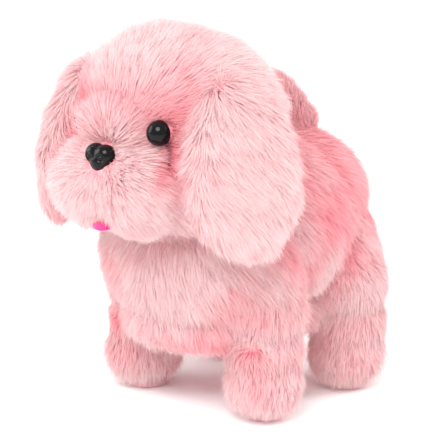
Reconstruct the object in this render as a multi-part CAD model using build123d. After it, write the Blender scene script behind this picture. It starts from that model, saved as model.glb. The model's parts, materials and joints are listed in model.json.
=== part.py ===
from build123d import *
import math
import os

# A walking plush puppy, in millimetres.
# +Z is up, -Y is the way the dog faces and +X is the dog's own left.
# The origin is on the floor under the middle of the dog's overall length.
# A motor in a two-part housing turns a crank shaft through three gear pairs. The discs on the
# shaft's ends push a tie bar on each side, which swings that side's two legs, the left ones
# against the right ones. A timing pair on the same shaft rocks the head through a fork.

os.makedirs("parts", exist_ok=True)

# ---------------------------------------------------------------- driving dimensions
overall_length = 167.0  # nose tip to rump
overall_height = 173.0  # floor to the top of the head
body_width = 104.0
body_pelt_length = 137.0
body_pelt_height = 94.0
head_width = 94.0
leg_pelt_radius = 16.0
leg_track = 70.0  # between the left and the right legs' middles
hip_spacing = 58.0  # front hip to rear hip
hip_height = 48.0
rump_overhang = 40.5  # rear hip to rump
swing_degrees = 14.5  # each way
nod_degrees = 6.0  # each way
wall = 2.0  # moulded shells
running_clearance = 0.05  # on the radius of a turning fit
side_gap = 0.4  # between moving plates that lie side by side
soft_gap = 0.6  # between a soft part and a hard one that it wraps

# ---------------------------------------------------------------- hips and housing
rump_y = overall_length / 2
nose_tip_y = -overall_length / 2
rear_hip_y = rump_y - rump_overhang
front_hip_y = rear_hip_y - hip_spacing
mid_y = (front_hip_y + rear_hip_y) / 2
leg_x = leg_track / 2

housing_half_width = 21.0
housing_length_margin = 13.0  # past each hip
housing_front_y = front_hip_y - housing_length_margin
housing_rear_y = rear_hip_y + housing_length_margin
housing_bottom_z = hip_height - 19.0
housing_top_z = hip_height + 40.0
housing_corner = 4.0
inner_half_width = housing_half_width - wall

# ---------------------------------------------------------------- drive
link_arm = 12.0  # hip to tie bar pin
crank_radius = link_arm * math.sin(math.radians(swing_degrees))
crank_y = mid_y
crank_z = hip_height + link_arm
shaft_radius = 1.5
gear_module = 0.5
pinion_teeth = 10
wheel_teeth = 36
timing_teeth = 24
gear_width = 2.6
gear_backlash = 0.08
gear_pin_radius = 1.0
reduction_spacing = gear_module * (pinion_teeth + wheel_teeth) / 2
timing_spacing = gear_module * timing_teeth
idler_2_direction = 150.0  # degrees, from the crank, in the Y-Z plane
idler_1_direction = 60.0  # from the second idler
motor_direction = 180.0  # from the first idler


def step_to(y, z, distance, degrees):
    """The point at that distance and direction in the Y-Z plane."""
    turn = math.radians(degrees)
    return y + distance * math.cos(turn), z + distance * math.sin(turn)


idler_2_y, idler_2_z = step_to(crank_y, crank_z, reduction_spacing, idler_2_direction)
idler_1_y, idler_1_z = step_to(idler_2_y, idler_2_z, reduction_spacing, idler_1_direction)
motor_y, motor_z = step_to(idler_1_y, idler_1_z, reduction_spacing, motor_direction)
nod_gear_y = crank_y - timing_spacing
nod_gear_z = crank_z

plate_half = 1.0  # half the gearbox plate's thickness
stage_1_x = 2.2  # each stage's wheel starts here
stage_pitch = 3.2
stage_2_x = stage_1_x + stage_pitch
stage_3_x = stage_2_x + stage_pitch
pinion_overhang = 0.2
timing_x = -12.4

# ---------------------------------------------------------------- outside linkage, left side
lever_inner_x = housing_half_width + side_gap
lever_thickness = 4.5
lever_outer_x = lever_inner_x + lever_thickness
hip_boss_radius = 3.0
hip_boss_end_x = lever_outer_x + 0.3
hip_screw_head_radius = 4.2
hip_screw_head = 1.6
screw_radius = 1.1
bar_inner_x = lever_outer_x + side_gap
bar_thickness = 2.5
bar_outer_x = bar_inner_x + bar_thickness
bar_half_height = 3.5
link_pin_radius = 2.0
crank_disc_radius = 8.0
crank_disc_thickness = 3.0
crank_pin_radius = 1.5
crank_pin_gap = 0.3  # the crank pin stops this short of the tie bar, as the opened pivot

# ---------------------------------------------------------------- legs
tube_radius = 9.0
tube_wall = 2.0
tube_top_z = hip_height - 10.0
foot_pad_thickness = 3.0
foot_pad_radius = tube_radius + 0.5
foot_plug_height = 5.0
leg_pelt_bottom_z = 2.0
leg_pelt_top_z = hip_height - 4.0
leg_pelt_inside_z = hip_height - 28.0  # above this the sleeve is open towards the housing

# ---------------------------------------------------------------- battery compartment
cell_radius = 7.25
cell_length = 50.5
cell_side_gap = 0.4
spring_length = 5.0
contact_thickness = 0.5
tray_wall = 1.6
tray_half_width = 2 * cell_radius + 1.5 * cell_side_gap + tray_wall
tray_inner_length = cell_length + spring_length + 2 * contact_thickness
belly_plate_bottom_z = housing_bottom_z - 2.0
tray_top_z = belly_plate_bottom_z + 23.0
cell_z = tray_top_z - tray_wall - cell_side_gap - cell_radius
door_thickness = 1.6
door_margin = 5.0
door_screw_radius = 1.1
door_screw_head_radius = 2.2

# ---------------------------------------------------------------- neck, head and face
neck_pivot_y = housing_front_y
neck_pivot_z = housing_top_z + 6.0
neck_lug_radius = 5.0
neck_lug_inner_x = 6.0
neck_lug_thickness = 3.0
neck_pin_radius = 1.5
head_rear_y = neck_pivot_y + 32.0
head_front_y = nose_tip_y + 12.5
head_bottom_z = neck_pivot_z - 8.0
muzzle_front_y = nose_tip_y + 3.5
muzzle_bottom_z = neck_pivot_z - 6.0
muzzle_height = 37.0
muzzle_half_width = 43.0
nose_z = muzzle_bottom_z + 32.0
eye_x = 21.0
eye_z = nose_z + 11.0
eye_radius = 5.4
ear_width = 54.0
ear_length = 76.0
ear_thickness = 9.0
ear_tip_z = hip_height + 27.0
ear_turn = 22.0  # degrees, so that its face looks partly forward
neck_opening_radius = 21.0

# ---------------------------------------------------------------- tail
tail_pivot_y = rear_hip_y + 5.0
tail_hub_radius = 4.0
tail_pin_radius = 1.5


# ---------------------------------------------------------------- helpers
def block(x0, x1, y0, y1, z0, z1):
    """A box from its lowest to its highest corner."""
    return Pos((x0 + x1) / 2, (y0 + y1) / 2, (z0 + z1) / 2) * Box(x1 - x0, y1 - y0, z1 - z0)


def soft_block(x0, x1, y0, y1, z0, z1, radius):
    """A box with every edge rounded."""
    solid = block(x0, x1, y0, y1, z0, z1)
    room = min(x1 - x0, y1 - y0, z1 - z0) / 2 - 0.2
    return fillet(solid.edges(), min(radius, room))


def rod_x(radius, x0, x1, y, z):
    """A round rod along X."""
    return Pos((x0 + x1) / 2, y, z) * Rot(0, 90, 0) * Cylinder(radius, x1 - x0)


def rod_y(radius, y0, y1, x, z):
    """A round rod along Y."""
    return Pos(x, (y0 + y1) / 2, z) * Rot(90, 0, 0) * Cylinder(radius, y1 - y0)


def rod_z(radius, z0, z1, x, y):
    """A round rod along Z."""
    return Pos(x, y, (z0 + z1) / 2) * Cylinder(radius, z1 - z0)


def slot_x(length, width, x0, x1, y, z, degrees=0.0):
    """A bar with round ends, thick along X and long along Y before it is turned."""
    face = Plane(origin=(x0, y, z), x_dir=(0, 1, 0), z_dir=(1, 0, 0)) * (
        Rot(0, 0, degrees) * SlotOverall(length, width)
    )
    return extrude(face, x1 - x0, dir=(1, 0, 0))


def to_right(solid):
    """The same piece on the dog's right side."""
    return mirror(solid, Plane.YZ)


# ---------------------------------------------------------------- gears
PRESSURE = math.radians(20)
PROFILE_SHIFT = 0.4  # a ten-tooth pinion takes it, and its wheel gives it, so that neither undercuts


def involute(angle):
    return math.tan(angle) - angle


def gear(teeth, shift, x0, x1, y, z, tooth_degrees):
    """An involute spur gear about X, with the middle of one tooth in the direction given."""
    pitch = gear_module * teeth / 2
    base = pitch * math.cos(PRESSURE)
    tip = pitch + gear_module * (1 + shift)
    root = pitch - gear_module * (1.25 - shift)
    thickness = gear_module * (math.pi / 2 + 2 * shift * math.tan(PRESSURE)) - gear_backlash
    half_at_pitch = thickness / (2 * pitch)

    def half_angle(radius):
        if radius <= base:
            return half_at_pitch + involute(PRESSURE)
        return half_at_pitch + involute(PRESSURE) - involute(math.acos(base / radius))

    def at(radius, angle):
        return (radius * math.cos(angle), radius * math.sin(angle))

    start = max(base, root)
    middle = (start + tip) / 2
    step = 2 * math.pi / teeth
    edges = []
    for number in range(teeth):
        centre = math.radians(tooth_degrees) + number * step
        low, mid, high = (half_angle(r) for r in (start, middle, tip))
        if root < base:
            edges.append(Line(at(root, centre - low), at(start, centre - low)))
            edges.append(Line(at(start, centre + low), at(root, centre + low)))
        edges.append(
            ThreePointArc(at(start, centre - low), at(middle, centre - mid), at(tip, centre - high))
        )
        edges.append(ThreePointArc(at(tip, centre - high), at(tip, centre), at(tip, centre + high)))
        edges.append(
            ThreePointArc(at(tip, centre + high), at(middle, centre + mid), at(start, centre + low))
        )
        gap = centre + step / 2
        edges.append(
            ThreePointArc(at(root, centre + low), at(root, gap), at(root, centre + step - low))
        )
    outline = make_face(Wire(edges))
    return extrude(Plane(origin=(x0, y, z), x_dir=(0, 1, 0), z_dir=(1, 0, 0)) * outline, x1 - x0)


def half_tooth(teeth):
    """Half a tooth's pitch in degrees: turning by this puts a gap where a tooth was."""
    return 180.0 / teeth


# ---------------------------------------------------------------- housing
def housing_block(grow, x0, x1):
    """The housing's rounded side profile, between two X planes."""
    solid = block(
        x0,
        x1,
        housing_front_y - grow,
        housing_rear_y + grow,
        housing_bottom_z,
        housing_top_z + grow,
    )
    top_edges = solid.edges().filter_by(Axis.X).group_by(Axis.Z)[-1]
    return fillet(top_edges, housing_corner + grow)


boss_radius = 3.0
screw_inset = 5.5
screw_spots = [
    (housing_front_y + screw_inset, housing_bottom_z + 22.5),
    (housing_rear_y - 4.0, housing_top_z - 5.5),
    (housing_front_y + screw_inset, housing_bottom_z + 11.0),
    (housing_rear_y - screw_inset, housing_bottom_z + 11.0),
]
speaker_radius = 14.0
speaker_depth = 6.0
speaker_z = housing_bottom_z + 35.0


def housing_half():
    """The left half: side wall, half of the top, front and rear, bosses and the neck lug."""
    shell = housing_block(0, 0, housing_half_width)
    hollow = housing_block(-wall, -1, inner_half_width)
    hollow += block(
        -1,
        inner_half_width,
        housing_front_y + wall,
        housing_rear_y - wall,
        housing_bottom_z - 1,
        housing_bottom_z + 2 * wall,
    )
    shell -= hollow
    for y, z in screw_spots:
        shell += rod_x(boss_radius, 0, inner_half_width, y, z)
    for y in (front_hip_y, rear_hip_y):
        shell += rod_x(hip_boss_radius, inner_half_width, hip_boss_end_x, y, hip_height)
        shell -= rod_x(screw_radius, inner_half_width - 1, hip_boss_end_x + 1, y, hip_height)
    lug_x1 = neck_lug_inner_x + neck_lug_thickness
    lug = rod_x(neck_lug_radius, neck_lug_inner_x, lug_x1, neck_pivot_y, neck_pivot_z)
    lug += block(
        neck_lug_inner_x,
        lug_x1,
        neck_pivot_y,
        neck_pivot_y + neck_lug_radius + housing_corner,
        housing_top_z - wall,
        neck_pivot_z,
    )
    lug += block(
        neck_lug_inner_x,
        lug_x1,
        neck_pivot_y - neck_lug_radius,
        neck_pivot_y + wall,
        housing_top_z - 3 * wall,
        neck_pivot_z,
    )
    shell += lug
    shell -= rod_x(neck_pin_radius, neck_lug_inner_x - 1, lug_x1 + 1, neck_pivot_y, neck_pivot_z)
    shell -= rod_x(
        shaft_radius + running_clearance,
        inner_half_width - 1,
        housing_half_width + 1,
        crank_y,
        crank_z,
    )
    return shell


grille_hole_radius = 1.0
grille_pitch = 4.0


def grille():
    """The holes in the rear wall, over the speaker."""
    holes = []
    for row in range(-2, 3):
        for column in range(-2, 3):
            if row * row + column * column <= 6:
                holes.append(
                    rod_y(
                        grille_hole_radius,
                        housing_rear_y - wall - 1,
                        housing_rear_y + 1,
                        column * grille_pitch,
                        speaker_z + row * grille_pitch,
                    )
                )
    return holes


nod_slot_half_width = 5.8


def nod_opening():
    """The gap at the top front corner that the head's arm goes down through."""
    return block(
        -nod_slot_half_width,
        nod_slot_half_width,
        housing_front_y - 1,
        housing_front_y + 14.0,
        housing_top_z - 16.0,
        housing_top_z + 1,
    )


tail_boss_radius = 3.5
tail_boss_z0 = housing_top_z - 10.0


def tail_boss():
    """The upright boss in the housing's roof that holds the tail's pin."""
    return rod_z(tail_boss_radius, tail_boss_z0, housing_top_z - wall / 2, 0, tail_pivot_y)


idler_1_boss = rod_x(2.5, stage_2_x + stage_pitch, inner_half_width + 1, idler_1_y, idler_1_z)
idler_2_boss = rod_x(2.5, stage_3_x + stage_pitch, inner_half_width + 1, idler_2_y, idler_2_z)
idler_1_bore = rod_x(gear_pin_radius, 0, inner_half_width + 1, idler_1_y, idler_1_z)
idler_2_bore = rod_x(gear_pin_radius, 0, inner_half_width + 1, idler_2_y, idler_2_z)
nod_boss = rod_x(2.5, -inner_half_width - 1, timing_x - 0.2, nod_gear_y, nod_gear_z)
nod_bore = rod_x(gear_pin_radius, -inner_half_width - 1, timing_x, nod_gear_y, nod_gear_z)
tail_bore = rod_z(
    tail_pin_radius + running_clearance, tail_boss_z0 - 1, housing_top_z + 1, 0, tail_pivot_y
)
shared_cuts = [nod_opening(), tail_bore, *grille()]

housing_left = housing_half() + idler_1_boss + idler_2_boss
housing_left += tail_boss() & block(0, 10, tail_pivot_y - 10, tail_pivot_y + 10, 0, housing_top_z)
for cut in [*shared_cuts, idler_1_bore, idler_2_bore]:
    housing_left -= cut
for y, z in screw_spots:
    housing_left -= rod_x(screw_radius, -1, 14, y, z)

housing_right = to_right(housing_half()) + nod_boss
housing_right += tail_boss() & block(-10, 0, tail_pivot_y - 10, tail_pivot_y + 10, 0, housing_top_z)
for cut in [*shared_cuts, nod_bore]:
    housing_right -= cut
for y, z in screw_spots:
    housing_right -= rod_x(screw_radius, -housing_half_width - 1, 1, y, z)
    housing_right -= rod_x(2.4, -housing_half_width - 1, -housing_half_width + 1.6, y, z)


def housing_screw(y, z):
    """A pan-head screw from the right wall into the left half's boss."""
    head = rod_x(2.2, -housing_half_width + 0.2, -housing_half_width + 1.6, y, z)
    return head + rod_x(screw_radius, -housing_half_width + 1.6, 12, y, z)


housing_screws = Compound(children=[housing_screw(y, z) for y, z in screw_spots])


def hip_screw(y):
    """A washer-head screw in a hip boss, left side."""
    head = rod_x(
        hip_screw_head_radius, hip_boss_end_x, hip_boss_end_x + hip_screw_head, y, hip_height
    )
    return head + rod_x(screw_radius, inner_half_width, hip_boss_end_x, y, hip_height)


hip_screws = Compound(
    children=[
        screw
        for y in (front_hip_y, rear_hip_y)
        for screw in (hip_screw(y), to_right(hip_screw(y)))
    ]
)

# ---------------------------------------------------------------- gearbox plate and motor
motor_radius = 7.75
motor_flat_half = 6.0
motor_length = 17.0
motor_end_x = -plate_half
motor_boss_radius = 2.5
motor_boss_length = 1.2
motor_shaft_radius = 0.75

motor = rod_x(motor_radius, motor_end_x - motor_length, motor_end_x, motor_y, motor_z)
motor &= block(
    motor_end_x - motor_length,
    motor_end_x,
    motor_y - motor_radius,
    motor_y + motor_radius,
    motor_z - motor_flat_half,
    motor_z + motor_flat_half,
)
motor += rod_x(
    motor_boss_radius, motor_end_x, motor_end_x + motor_boss_length, motor_y, motor_z
)
motor_bore_radius = motor_shaft_radius + running_clearance
motor -= rod_x(motor_bore_radius, motor_end_x - 9, motor_end_x + 3, motor_y, motor_z)

gearbox_front_y = motor_y - motor_radius - 2.0
gearbox_rear_y = crank_y + crank_disc_radius + 6.0
gearbox_bottom_z = tray_top_z
gearbox_top_z = housing_top_z - wall - 0.5
gearbox_plate = block(
    -plate_half, plate_half, gearbox_front_y, gearbox_rear_y, gearbox_bottom_z, gearbox_top_z
)
gearbox_plate -= rod_x(motor_boss_radius, -2, 2, motor_y, motor_z)
gearbox_plate -= rod_x(shaft_radius + running_clearance, -2, 2, crank_y, crank_z)
gearbox_plate += rod_x(1.8, plate_half, stage_1_x - 0.1, idler_1_y, idler_1_z)
gearbox_plate += rod_x(1.8, plate_half, stage_2_x - 0.1, idler_2_y, idler_2_z)
gearbox_plate -= idler_1_bore + idler_2_bore

gear_pins = Compound(
    children=[
        rod_x(gear_pin_radius, 0, inner_half_width + 1, idler_1_y, idler_1_z),
        rod_x(gear_pin_radius, 0, inner_half_width + 1, idler_2_y, idler_2_z),
        rod_x(
            gear_pin_radius,
            -inner_half_width - 1,
            timing_x + gear_width / 2,
            nod_gear_y,
            nod_gear_z,
        ),
    ]
)

# ---------------------------------------------------------------- gear train
idler_bore_radius = gear_pin_radius + running_clearance


def wheel(x0, y, z, tooth_degrees):
    return gear(wheel_teeth, -PROFILE_SHIFT, x0, x0 + gear_width, y, z, tooth_degrees)


def pinion(x0, x1, y, z, tooth_degrees):
    return gear(pinion_teeth, PROFILE_SHIFT, x0, x1, y, z, tooth_degrees)


def idler(x0, y, z, wheel_degrees, pinion_degrees):
    """A wheel with the next stage's pinion moulded on its left face."""
    solid = wheel(x0, y, z, wheel_degrees)
    solid += pinion(x0 + gear_width, x0 + gear_width + stage_pitch, y, z, pinion_degrees)
    return solid - rod_x(idler_bore_radius, x0 - 1, x0 + 2 * stage_pitch + 1, y, z)


idler_1_gear = idler(
    stage_1_x,
    idler_1_y,
    idler_1_z,
    motor_direction,
    idler_1_direction + 180 + half_tooth(pinion_teeth),
)
idler_2_gear = idler(
    stage_2_x,
    idler_2_y,
    idler_2_z,
    idler_1_direction,
    idler_2_direction + 180 + half_tooth(pinion_teeth),
)
output_gear = wheel(stage_3_x, crank_y, crank_z, idler_2_direction)
output_gear += rod_x(3.0, stage_3_x + gear_width, stage_3_x + gear_width + 2, crank_y, crank_z)
output_gear -= rod_x(shaft_radius, 0, inner_half_width, crank_y, crank_z)
motor_pinion = pinion(
    stage_1_x - pinion_overhang,
    stage_1_x + gear_width,
    motor_y,
    motor_z,
    motor_direction + 180 + half_tooth(pinion_teeth),
)
motor_pinion -= rod_x(motor_shaft_radius, 0, 10, motor_y, motor_z)
motor_shaft = rod_x(motor_shaft_radius, motor_end_x - 8, stage_1_x + gear_width, motor_y, motor_z)

timing_gear = gear(timing_teeth, 0, timing_x, timing_x + gear_width, crank_y, crank_z, 180.0)
timing_gear += rod_x(3.0, timing_x + gear_width, timing_x + gear_width + 2, crank_y, crank_z)
timing_gear -= rod_x(shaft_radius, -inner_half_width, 0, crank_y, crank_z)

nod_arm_reach = nod_gear_y - neck_pivot_y
nod_crank_radius = nod_arm_reach * math.sin(math.radians(nod_degrees))
nod_pin_radius = 1.2
nod_arm_thickness = 2.4
nod_arm_x0 = side_gap - neck_lug_inner_x
nod_arm_x1 = nod_arm_x0 + nod_arm_thickness
nod_gear = gear(
    timing_teeth,
    0,
    timing_x,
    timing_x + gear_width,
    nod_gear_y,
    nod_gear_z,
    half_tooth(timing_teeth),
)
nod_gear -= rod_x(
    idler_bore_radius, timing_x - 1, timing_x + gear_width / 2 + 0.2, nod_gear_y, nod_gear_z
)
nod_gear += rod_x(
    nod_pin_radius,
    timing_x + gear_width,
    nod_arm_x0 - crank_pin_gap,
    nod_gear_y - nod_crank_radius,
    nod_gear_z,
)

# ---------------------------------------------------------------- crank shaft and its end discs
disc_inner_x = housing_half_width + side_gap
disc_outer_x = disc_inner_x + crank_disc_thickness
crank_shaft = rod_x(shaft_radius, -disc_outer_x, disc_outer_x, crank_y, crank_z)


def crank_disc(pin_side):
    """A left-hand disc, with its pin above the shaft (+1) or below it (-1)."""
    disc = rod_x(crank_disc_radius, disc_inner_x, disc_outer_x, crank_y, crank_z)
    disc = chamfer(disc.edges(), 0.4)
    disc += rod_x(
        crank_pin_radius,
        disc_outer_x,
        bar_inner_x - crank_pin_gap,
        crank_y,
        crank_z + pin_side * crank_radius,
    )
    return disc - rod_x(shaft_radius, 0, disc_outer_x + 5, crank_y, crank_z)


crank_disc_left = crank_disc(1)
crank_disc_right = to_right(crank_disc(-1))

# ---------------------------------------------------------------- tie bars
yoke_half_width = 5.0
yoke_half_height = crank_radius + crank_pin_radius + 4.0
yoke_slot_width = 2 * crank_pin_radius + 0.2
yoke_slot_height = 2 * (crank_radius + crank_pin_radius) + 1.2


def tie_bar():
    """The left bar: a pin hole over each hip, and an upright slot for the crank pin."""
    bar = slot_x(
        hip_spacing + 2 * bar_half_height,
        2 * bar_half_height,
        bar_inner_x,
        bar_outer_x,
        mid_y,
        crank_z,
    )
    bar += block(
        bar_inner_x,
        bar_outer_x,
        crank_y - yoke_half_width,
        crank_y + yoke_half_width,
        crank_z - yoke_half_height,
        crank_z + yoke_half_height,
    )
    bar -= slot_x(
        yoke_slot_height, yoke_slot_width, bar_inner_x - 1, bar_outer_x + 1, crank_y, crank_z, 90
    )
    for y in (front_hip_y, rear_hip_y):
        bar -= rod_x(
            link_pin_radius + running_clearance, bar_inner_x - 1, bar_outer_x + 1, y, crank_z
        )
    return bar


tie_bar_left = tie_bar()
tie_bar_right = to_right(tie_bar())

# ---------------------------------------------------------------- legs
lever_half_width = 6.0
lever_bottom_z = hip_height - 24.0
lever_top_z = hip_height + link_arm + 5.0
snap_head_radius = 2.6


def leg_frame(y):
    """A left leg: the lever with its hip bore and link pin, and the hollow column."""
    lever = slot_x(
        lever_top_z - lever_bottom_z,
        2 * lever_half_width,
        lever_inner_x,
        lever_outer_x,
        y,
        (lever_top_z + lever_bottom_z) / 2,
        90,
    )
    lever += rod_x(link_pin_radius, lever_outer_x, bar_outer_x + 0.3, y, crank_z)
    lever += rod_x(snap_head_radius, bar_outer_x + 0.3, bar_outer_x + 1.3, y, crank_z)
    column = rod_z(tube_radius, foot_pad_thickness, tube_top_z, leg_x, y)
    column += block(
        lever_outer_x - 1,
        leg_x - tube_radius + 4,
        y - lever_half_width + 1,
        y + lever_half_width - 1,
        lever_bottom_z,
        tube_top_z,
    )
    column -= rod_z(tube_radius - tube_wall, 0, tube_top_z - tube_wall, leg_x, y)
    frame = lever + column
    bore_end = leg_x - tube_radius
    return frame - rod_x(
        hip_boss_radius + running_clearance, housing_half_width, bore_end, y, hip_height
    )


def foot_pad(y):
    """The rubber sole, with a plug that fills the column's mouth."""
    sole = rod_z(foot_pad_radius, 0, foot_pad_thickness, leg_x, y)
    sole = fillet(sole.edges().group_by(Axis.Z)[0], 1.0)
    plug_top = foot_pad_thickness + foot_plug_height
    return sole + rod_z(tube_radius - tube_wall, foot_pad_thickness, plug_top, leg_x, y)


def leg_pelt(y):
    """The plush sleeve of a left leg, open towards the housing above the belly."""
    sleeve = rod_z(leg_pelt_radius, leg_pelt_bottom_z, leg_pelt_top_z, leg_x, y)
    sleeve = fillet(sleeve.edges().group_by(Axis.Z)[0], 4.0)
    sleeve -= rod_z(tube_radius + soft_gap, 0, tube_top_z + soft_gap, leg_x, y)
    sleeve -= block(
        0,
        leg_x - tube_radius + 1,
        y - lever_half_width - soft_gap,
        y + lever_half_width + soft_gap,
        lever_bottom_z - lever_half_width,
        leg_pelt_top_z + 1,
    )
    open_side_x = lever_inner_x + 0.2
    sleeve -= block(0, open_side_x, y - 30, y + 30, leg_pelt_inside_z, leg_pelt_top_z + 1)
    sleeve -= rod_x(hip_screw_head_radius + 1, 0, leg_x - 2, y, hip_height)
    return sleeve


legs = {}
for place, y in (("front", front_hip_y), ("rear", rear_hip_y)):
    for side, turned in (("left", lambda s: s), ("right", to_right)):
        legs[f"leg_frame_{place}_{side}"] = turned(leg_frame(y))
        legs[f"foot_pad_{place}_{side}"] = turned(foot_pad(y))
        legs[f"leg_pelt_{place}_{side}"] = turned(leg_pelt(y))

# ---------------------------------------------------------------- battery tray, cells and door
tray_middle_y = mid_y + 3.0
tray_front_y = tray_middle_y - tray_inner_length / 2 - tray_wall
tray_rear_y = tray_middle_y + tray_inner_length / 2 + tray_wall
plate_half_width = housing_half_width - 1.0
plate_front_y = housing_front_y + 1.0
plate_rear_y = housing_rear_y - 1.0
switch_y = housing_front_y + 6.1
door_front_y = tray_front_y - door_margin
door_rear_y = tray_rear_y + door_margin
door_screw_ys = (door_front_y + 2.6, door_rear_y - 2.6)
switch_travel = 4.0

battery_tray = block(
    -plate_half_width,
    plate_half_width,
    plate_front_y,
    plate_rear_y,
    belly_plate_bottom_z,
    housing_bottom_z,
)
battery_tray += block(
    -tray_half_width,
    tray_half_width,
    tray_front_y,
    tray_rear_y,
    belly_plate_bottom_z,
    tray_top_z,
)
battery_tray -= block(
    -tray_half_width + tray_wall,
    tray_half_width - tray_wall,
    tray_front_y + tray_wall,
    tray_rear_y - tray_wall,
    belly_plate_bottom_z - 1,
    tray_top_z - tray_wall,
)
switch_slot_half = switch_travel / 2 + 2.0
battery_tray -= block(
    -switch_slot_half,
    switch_slot_half,
    switch_y - 1.7,
    switch_y + 1.7,
    belly_plate_bottom_z - 1,
    housing_bottom_z + 1,
)
for y in door_screw_ys:
    battery_tray -= rod_z(
        door_screw_radius + 0.1, belly_plate_bottom_z - 1, housing_bottom_z + 1, 0, y
    )

cell_x = cell_radius + cell_side_gap / 2
cell_y0 = tray_front_y + tray_wall + contact_thickness


def cell(side):
    """An AA cell along Y, with its positive tip to the rear on the left and to the front on the
    right."""
    tip = 1.2
    spring_room = spring_length if side > 0 else 0.0
    y0 = cell_y0 + spring_room
    body = rod_y(cell_radius, y0, y0 + cell_length - tip, side * cell_x, cell_z)
    if side < 0:
        y0 = cell_y0
        body = rod_y(cell_radius, y0 + tip, y0 + cell_length, side * cell_x, cell_z)
        return body + rod_y(2.6, y0, y0 + tip, side * cell_x, cell_z)
    end = y0 + cell_length
    return body + rod_y(2.6, end - tip, end, side * cell_x, cell_z)


battery_cells = Compound(children=[cell(1), cell(-1)])

spring_wire_radius = 0.4
spring_coil_radius = 3.5
spring_turns = 3


def coil_spring(x, y0, y1):
    """A negative contact's coil spring along Y."""
    height = y1 - y0 - 2 * spring_wire_radius
    path = Helix(pitch=height / spring_turns, height=height, radius=spring_coil_radius)
    section = Plane(path @ 0, z_dir=path % 0) * Circle(spring_wire_radius)
    coil = sweep(section, path=path, is_frenet=True)
    return Pos(x, y0 + spring_wire_radius, cell_z) * Rot(-90, 0, 0) * coil


battery_springs = Compound(
    children=[
        coil_spring(cell_x, cell_y0 + 0.1, cell_y0 + spring_length - 0.1),
        coil_spring(-cell_x, cell_y0 + cell_length + 0.1, cell_y0 + cell_length + spring_length - 0.1),
    ]
)


contact_front_y = tray_front_y + tray_wall
contact_rear_y = tray_rear_y - tray_wall - contact_thickness
contact_half = 4.5
tab_x = cell_x + 6.3
tab_half = 1.0
tab_top_z = tray_top_z + 5.2
lead_z = tray_top_z + 4.5


def contact_plate(x0, x1, y):
    return block(x0, x1, y, y + contact_thickness, cell_z - 5.0, cell_z + 5.0)


def tab_space(gap):
    """The soldering tab of the left terminal, which goes up through the tray's roof."""
    return block(
        tab_x - tab_half - gap,
        tab_x + tab_half + gap,
        contact_front_y - min(gap, 0.1),
        contact_front_y + contact_thickness + gap,
        cell_z + 3.0,
        tab_top_z + gap,
    )


def terminal():
    plate = contact_plate(cell_x - contact_half, tab_x + tab_half, contact_front_y)
    return plate + tab_space(0)


battery_tray -= tab_space(0.2) + to_right(tab_space(0.2))
battery_contacts = Compound(
    children=[
        terminal(),
        to_right(terminal()),
        contact_plate(-cell_x - contact_half, cell_x + contact_half, contact_rear_y),
    ]
)

door_half_width = tray_half_width + 0.8
door_top_z = belly_plate_bottom_z
battery_door = block(
    -door_half_width,
    door_half_width,
    door_front_y,
    door_rear_y,
    door_top_z - door_thickness,
    door_top_z,
)
battery_door = fillet(battery_door.edges().filter_by(Axis.Z), 2.5)
for ridge in range(4):
    ridge_y = tray_middle_y - 6.0 + 4.0 * ridge
    battery_door += block(
        -7.0, 7.0, ridge_y - 0.6, ridge_y + 0.6, door_top_z - door_thickness - 0.5, door_top_z - 0.5
    )
for y in door_screw_ys:
    battery_door -= rod_z(door_screw_radius, 0, hip_height, 0, y)
    battery_door -= rod_z(
        door_screw_head_radius, door_top_z - door_thickness - 1, door_top_z - 0.8, 0, y
    )


def door_screw(y):
    """A captive screw, its head sunk in the door."""
    head = rod_z(door_screw_head_radius, door_top_z - door_thickness, door_top_z - 0.8, 0, y)
    return head + rod_z(door_screw_radius, door_top_z - 0.8, housing_bottom_z - 0.2, 0, y)


door_screws = Compound(children=[door_screw(y) for y in door_screw_ys])

# ---------------------------------------------------------------- switch, sound board and speaker
switch_body_z = housing_bottom_z
switch_body_height = 4.0
switch_body_half = 6.0
switch_body = block(
    -switch_body_half,
    switch_body_half,
    switch_y - 2.6,
    switch_y + 2.6,
    switch_body_z,
    switch_body_z + switch_body_height,
)
switch_body -= block(
    -switch_slot_half,
    switch_slot_half,
    switch_y - 1.5,
    switch_y + 1.5,
    switch_body_z - 1,
    switch_body_z + 2.4,
)
switch_slider = block(
    -switch_travel / 2 - 1.5,
    -switch_travel / 2 + 1.5,
    switch_y - 1.3,
    switch_y + 1.3,
    belly_plate_bottom_z - 1.4,
    switch_body_z + 2.2,
)

board_z = tray_top_z
board_y0 = crank_y + 17.0
board_y1 = board_y0 + 12.0
board_half_width = 16.5
board_top_z = board_z + 1.2
sound_board = block(-board_half_width, board_half_width, board_y0, board_y1, board_z, board_top_z)
sound_board += block(-4.0, 4.0, board_y0 + 2.0, board_y0 + 9.0, board_top_z, board_top_z + 1.4)
sound_board += rod_z(2.0, board_top_z, board_top_z + 4.8, 9.0, board_y0 + 6.0)

speaker_face_y = housing_rear_y - wall - 0.2
speaker = rod_y(speaker_radius, speaker_face_y - 1.2, speaker_face_y, 0, speaker_z)
speaker += rod_y(speaker_radius - 2.5, speaker_face_y - 3.2, speaker_face_y - 1.2, 0, speaker_z)
speaker += rod_y(7.0, speaker_face_y - speaker_depth, speaker_face_y - 3.2, 0, speaker_z)
cone_cut = Pos(0, speaker_face_y - 1.2, speaker_z) * Rot(-90, 0, 0) * Cone(5.0, 11.0, 2.4)
speaker -= cone_cut

# ---------------------------------------------------------------- wires between the inner pieces
wire_radius = 0.5
wire_bend = 2.5


def wire(*points):
    """A lead held in the housing, of straight runs with a bend at each corner."""
    path = FilletPolyline(*points, radius=wire_bend)
    section = Plane(path @ 0, z_dir=path % 0) * Circle(wire_radius)
    return sweep(section, path=path)


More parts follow.
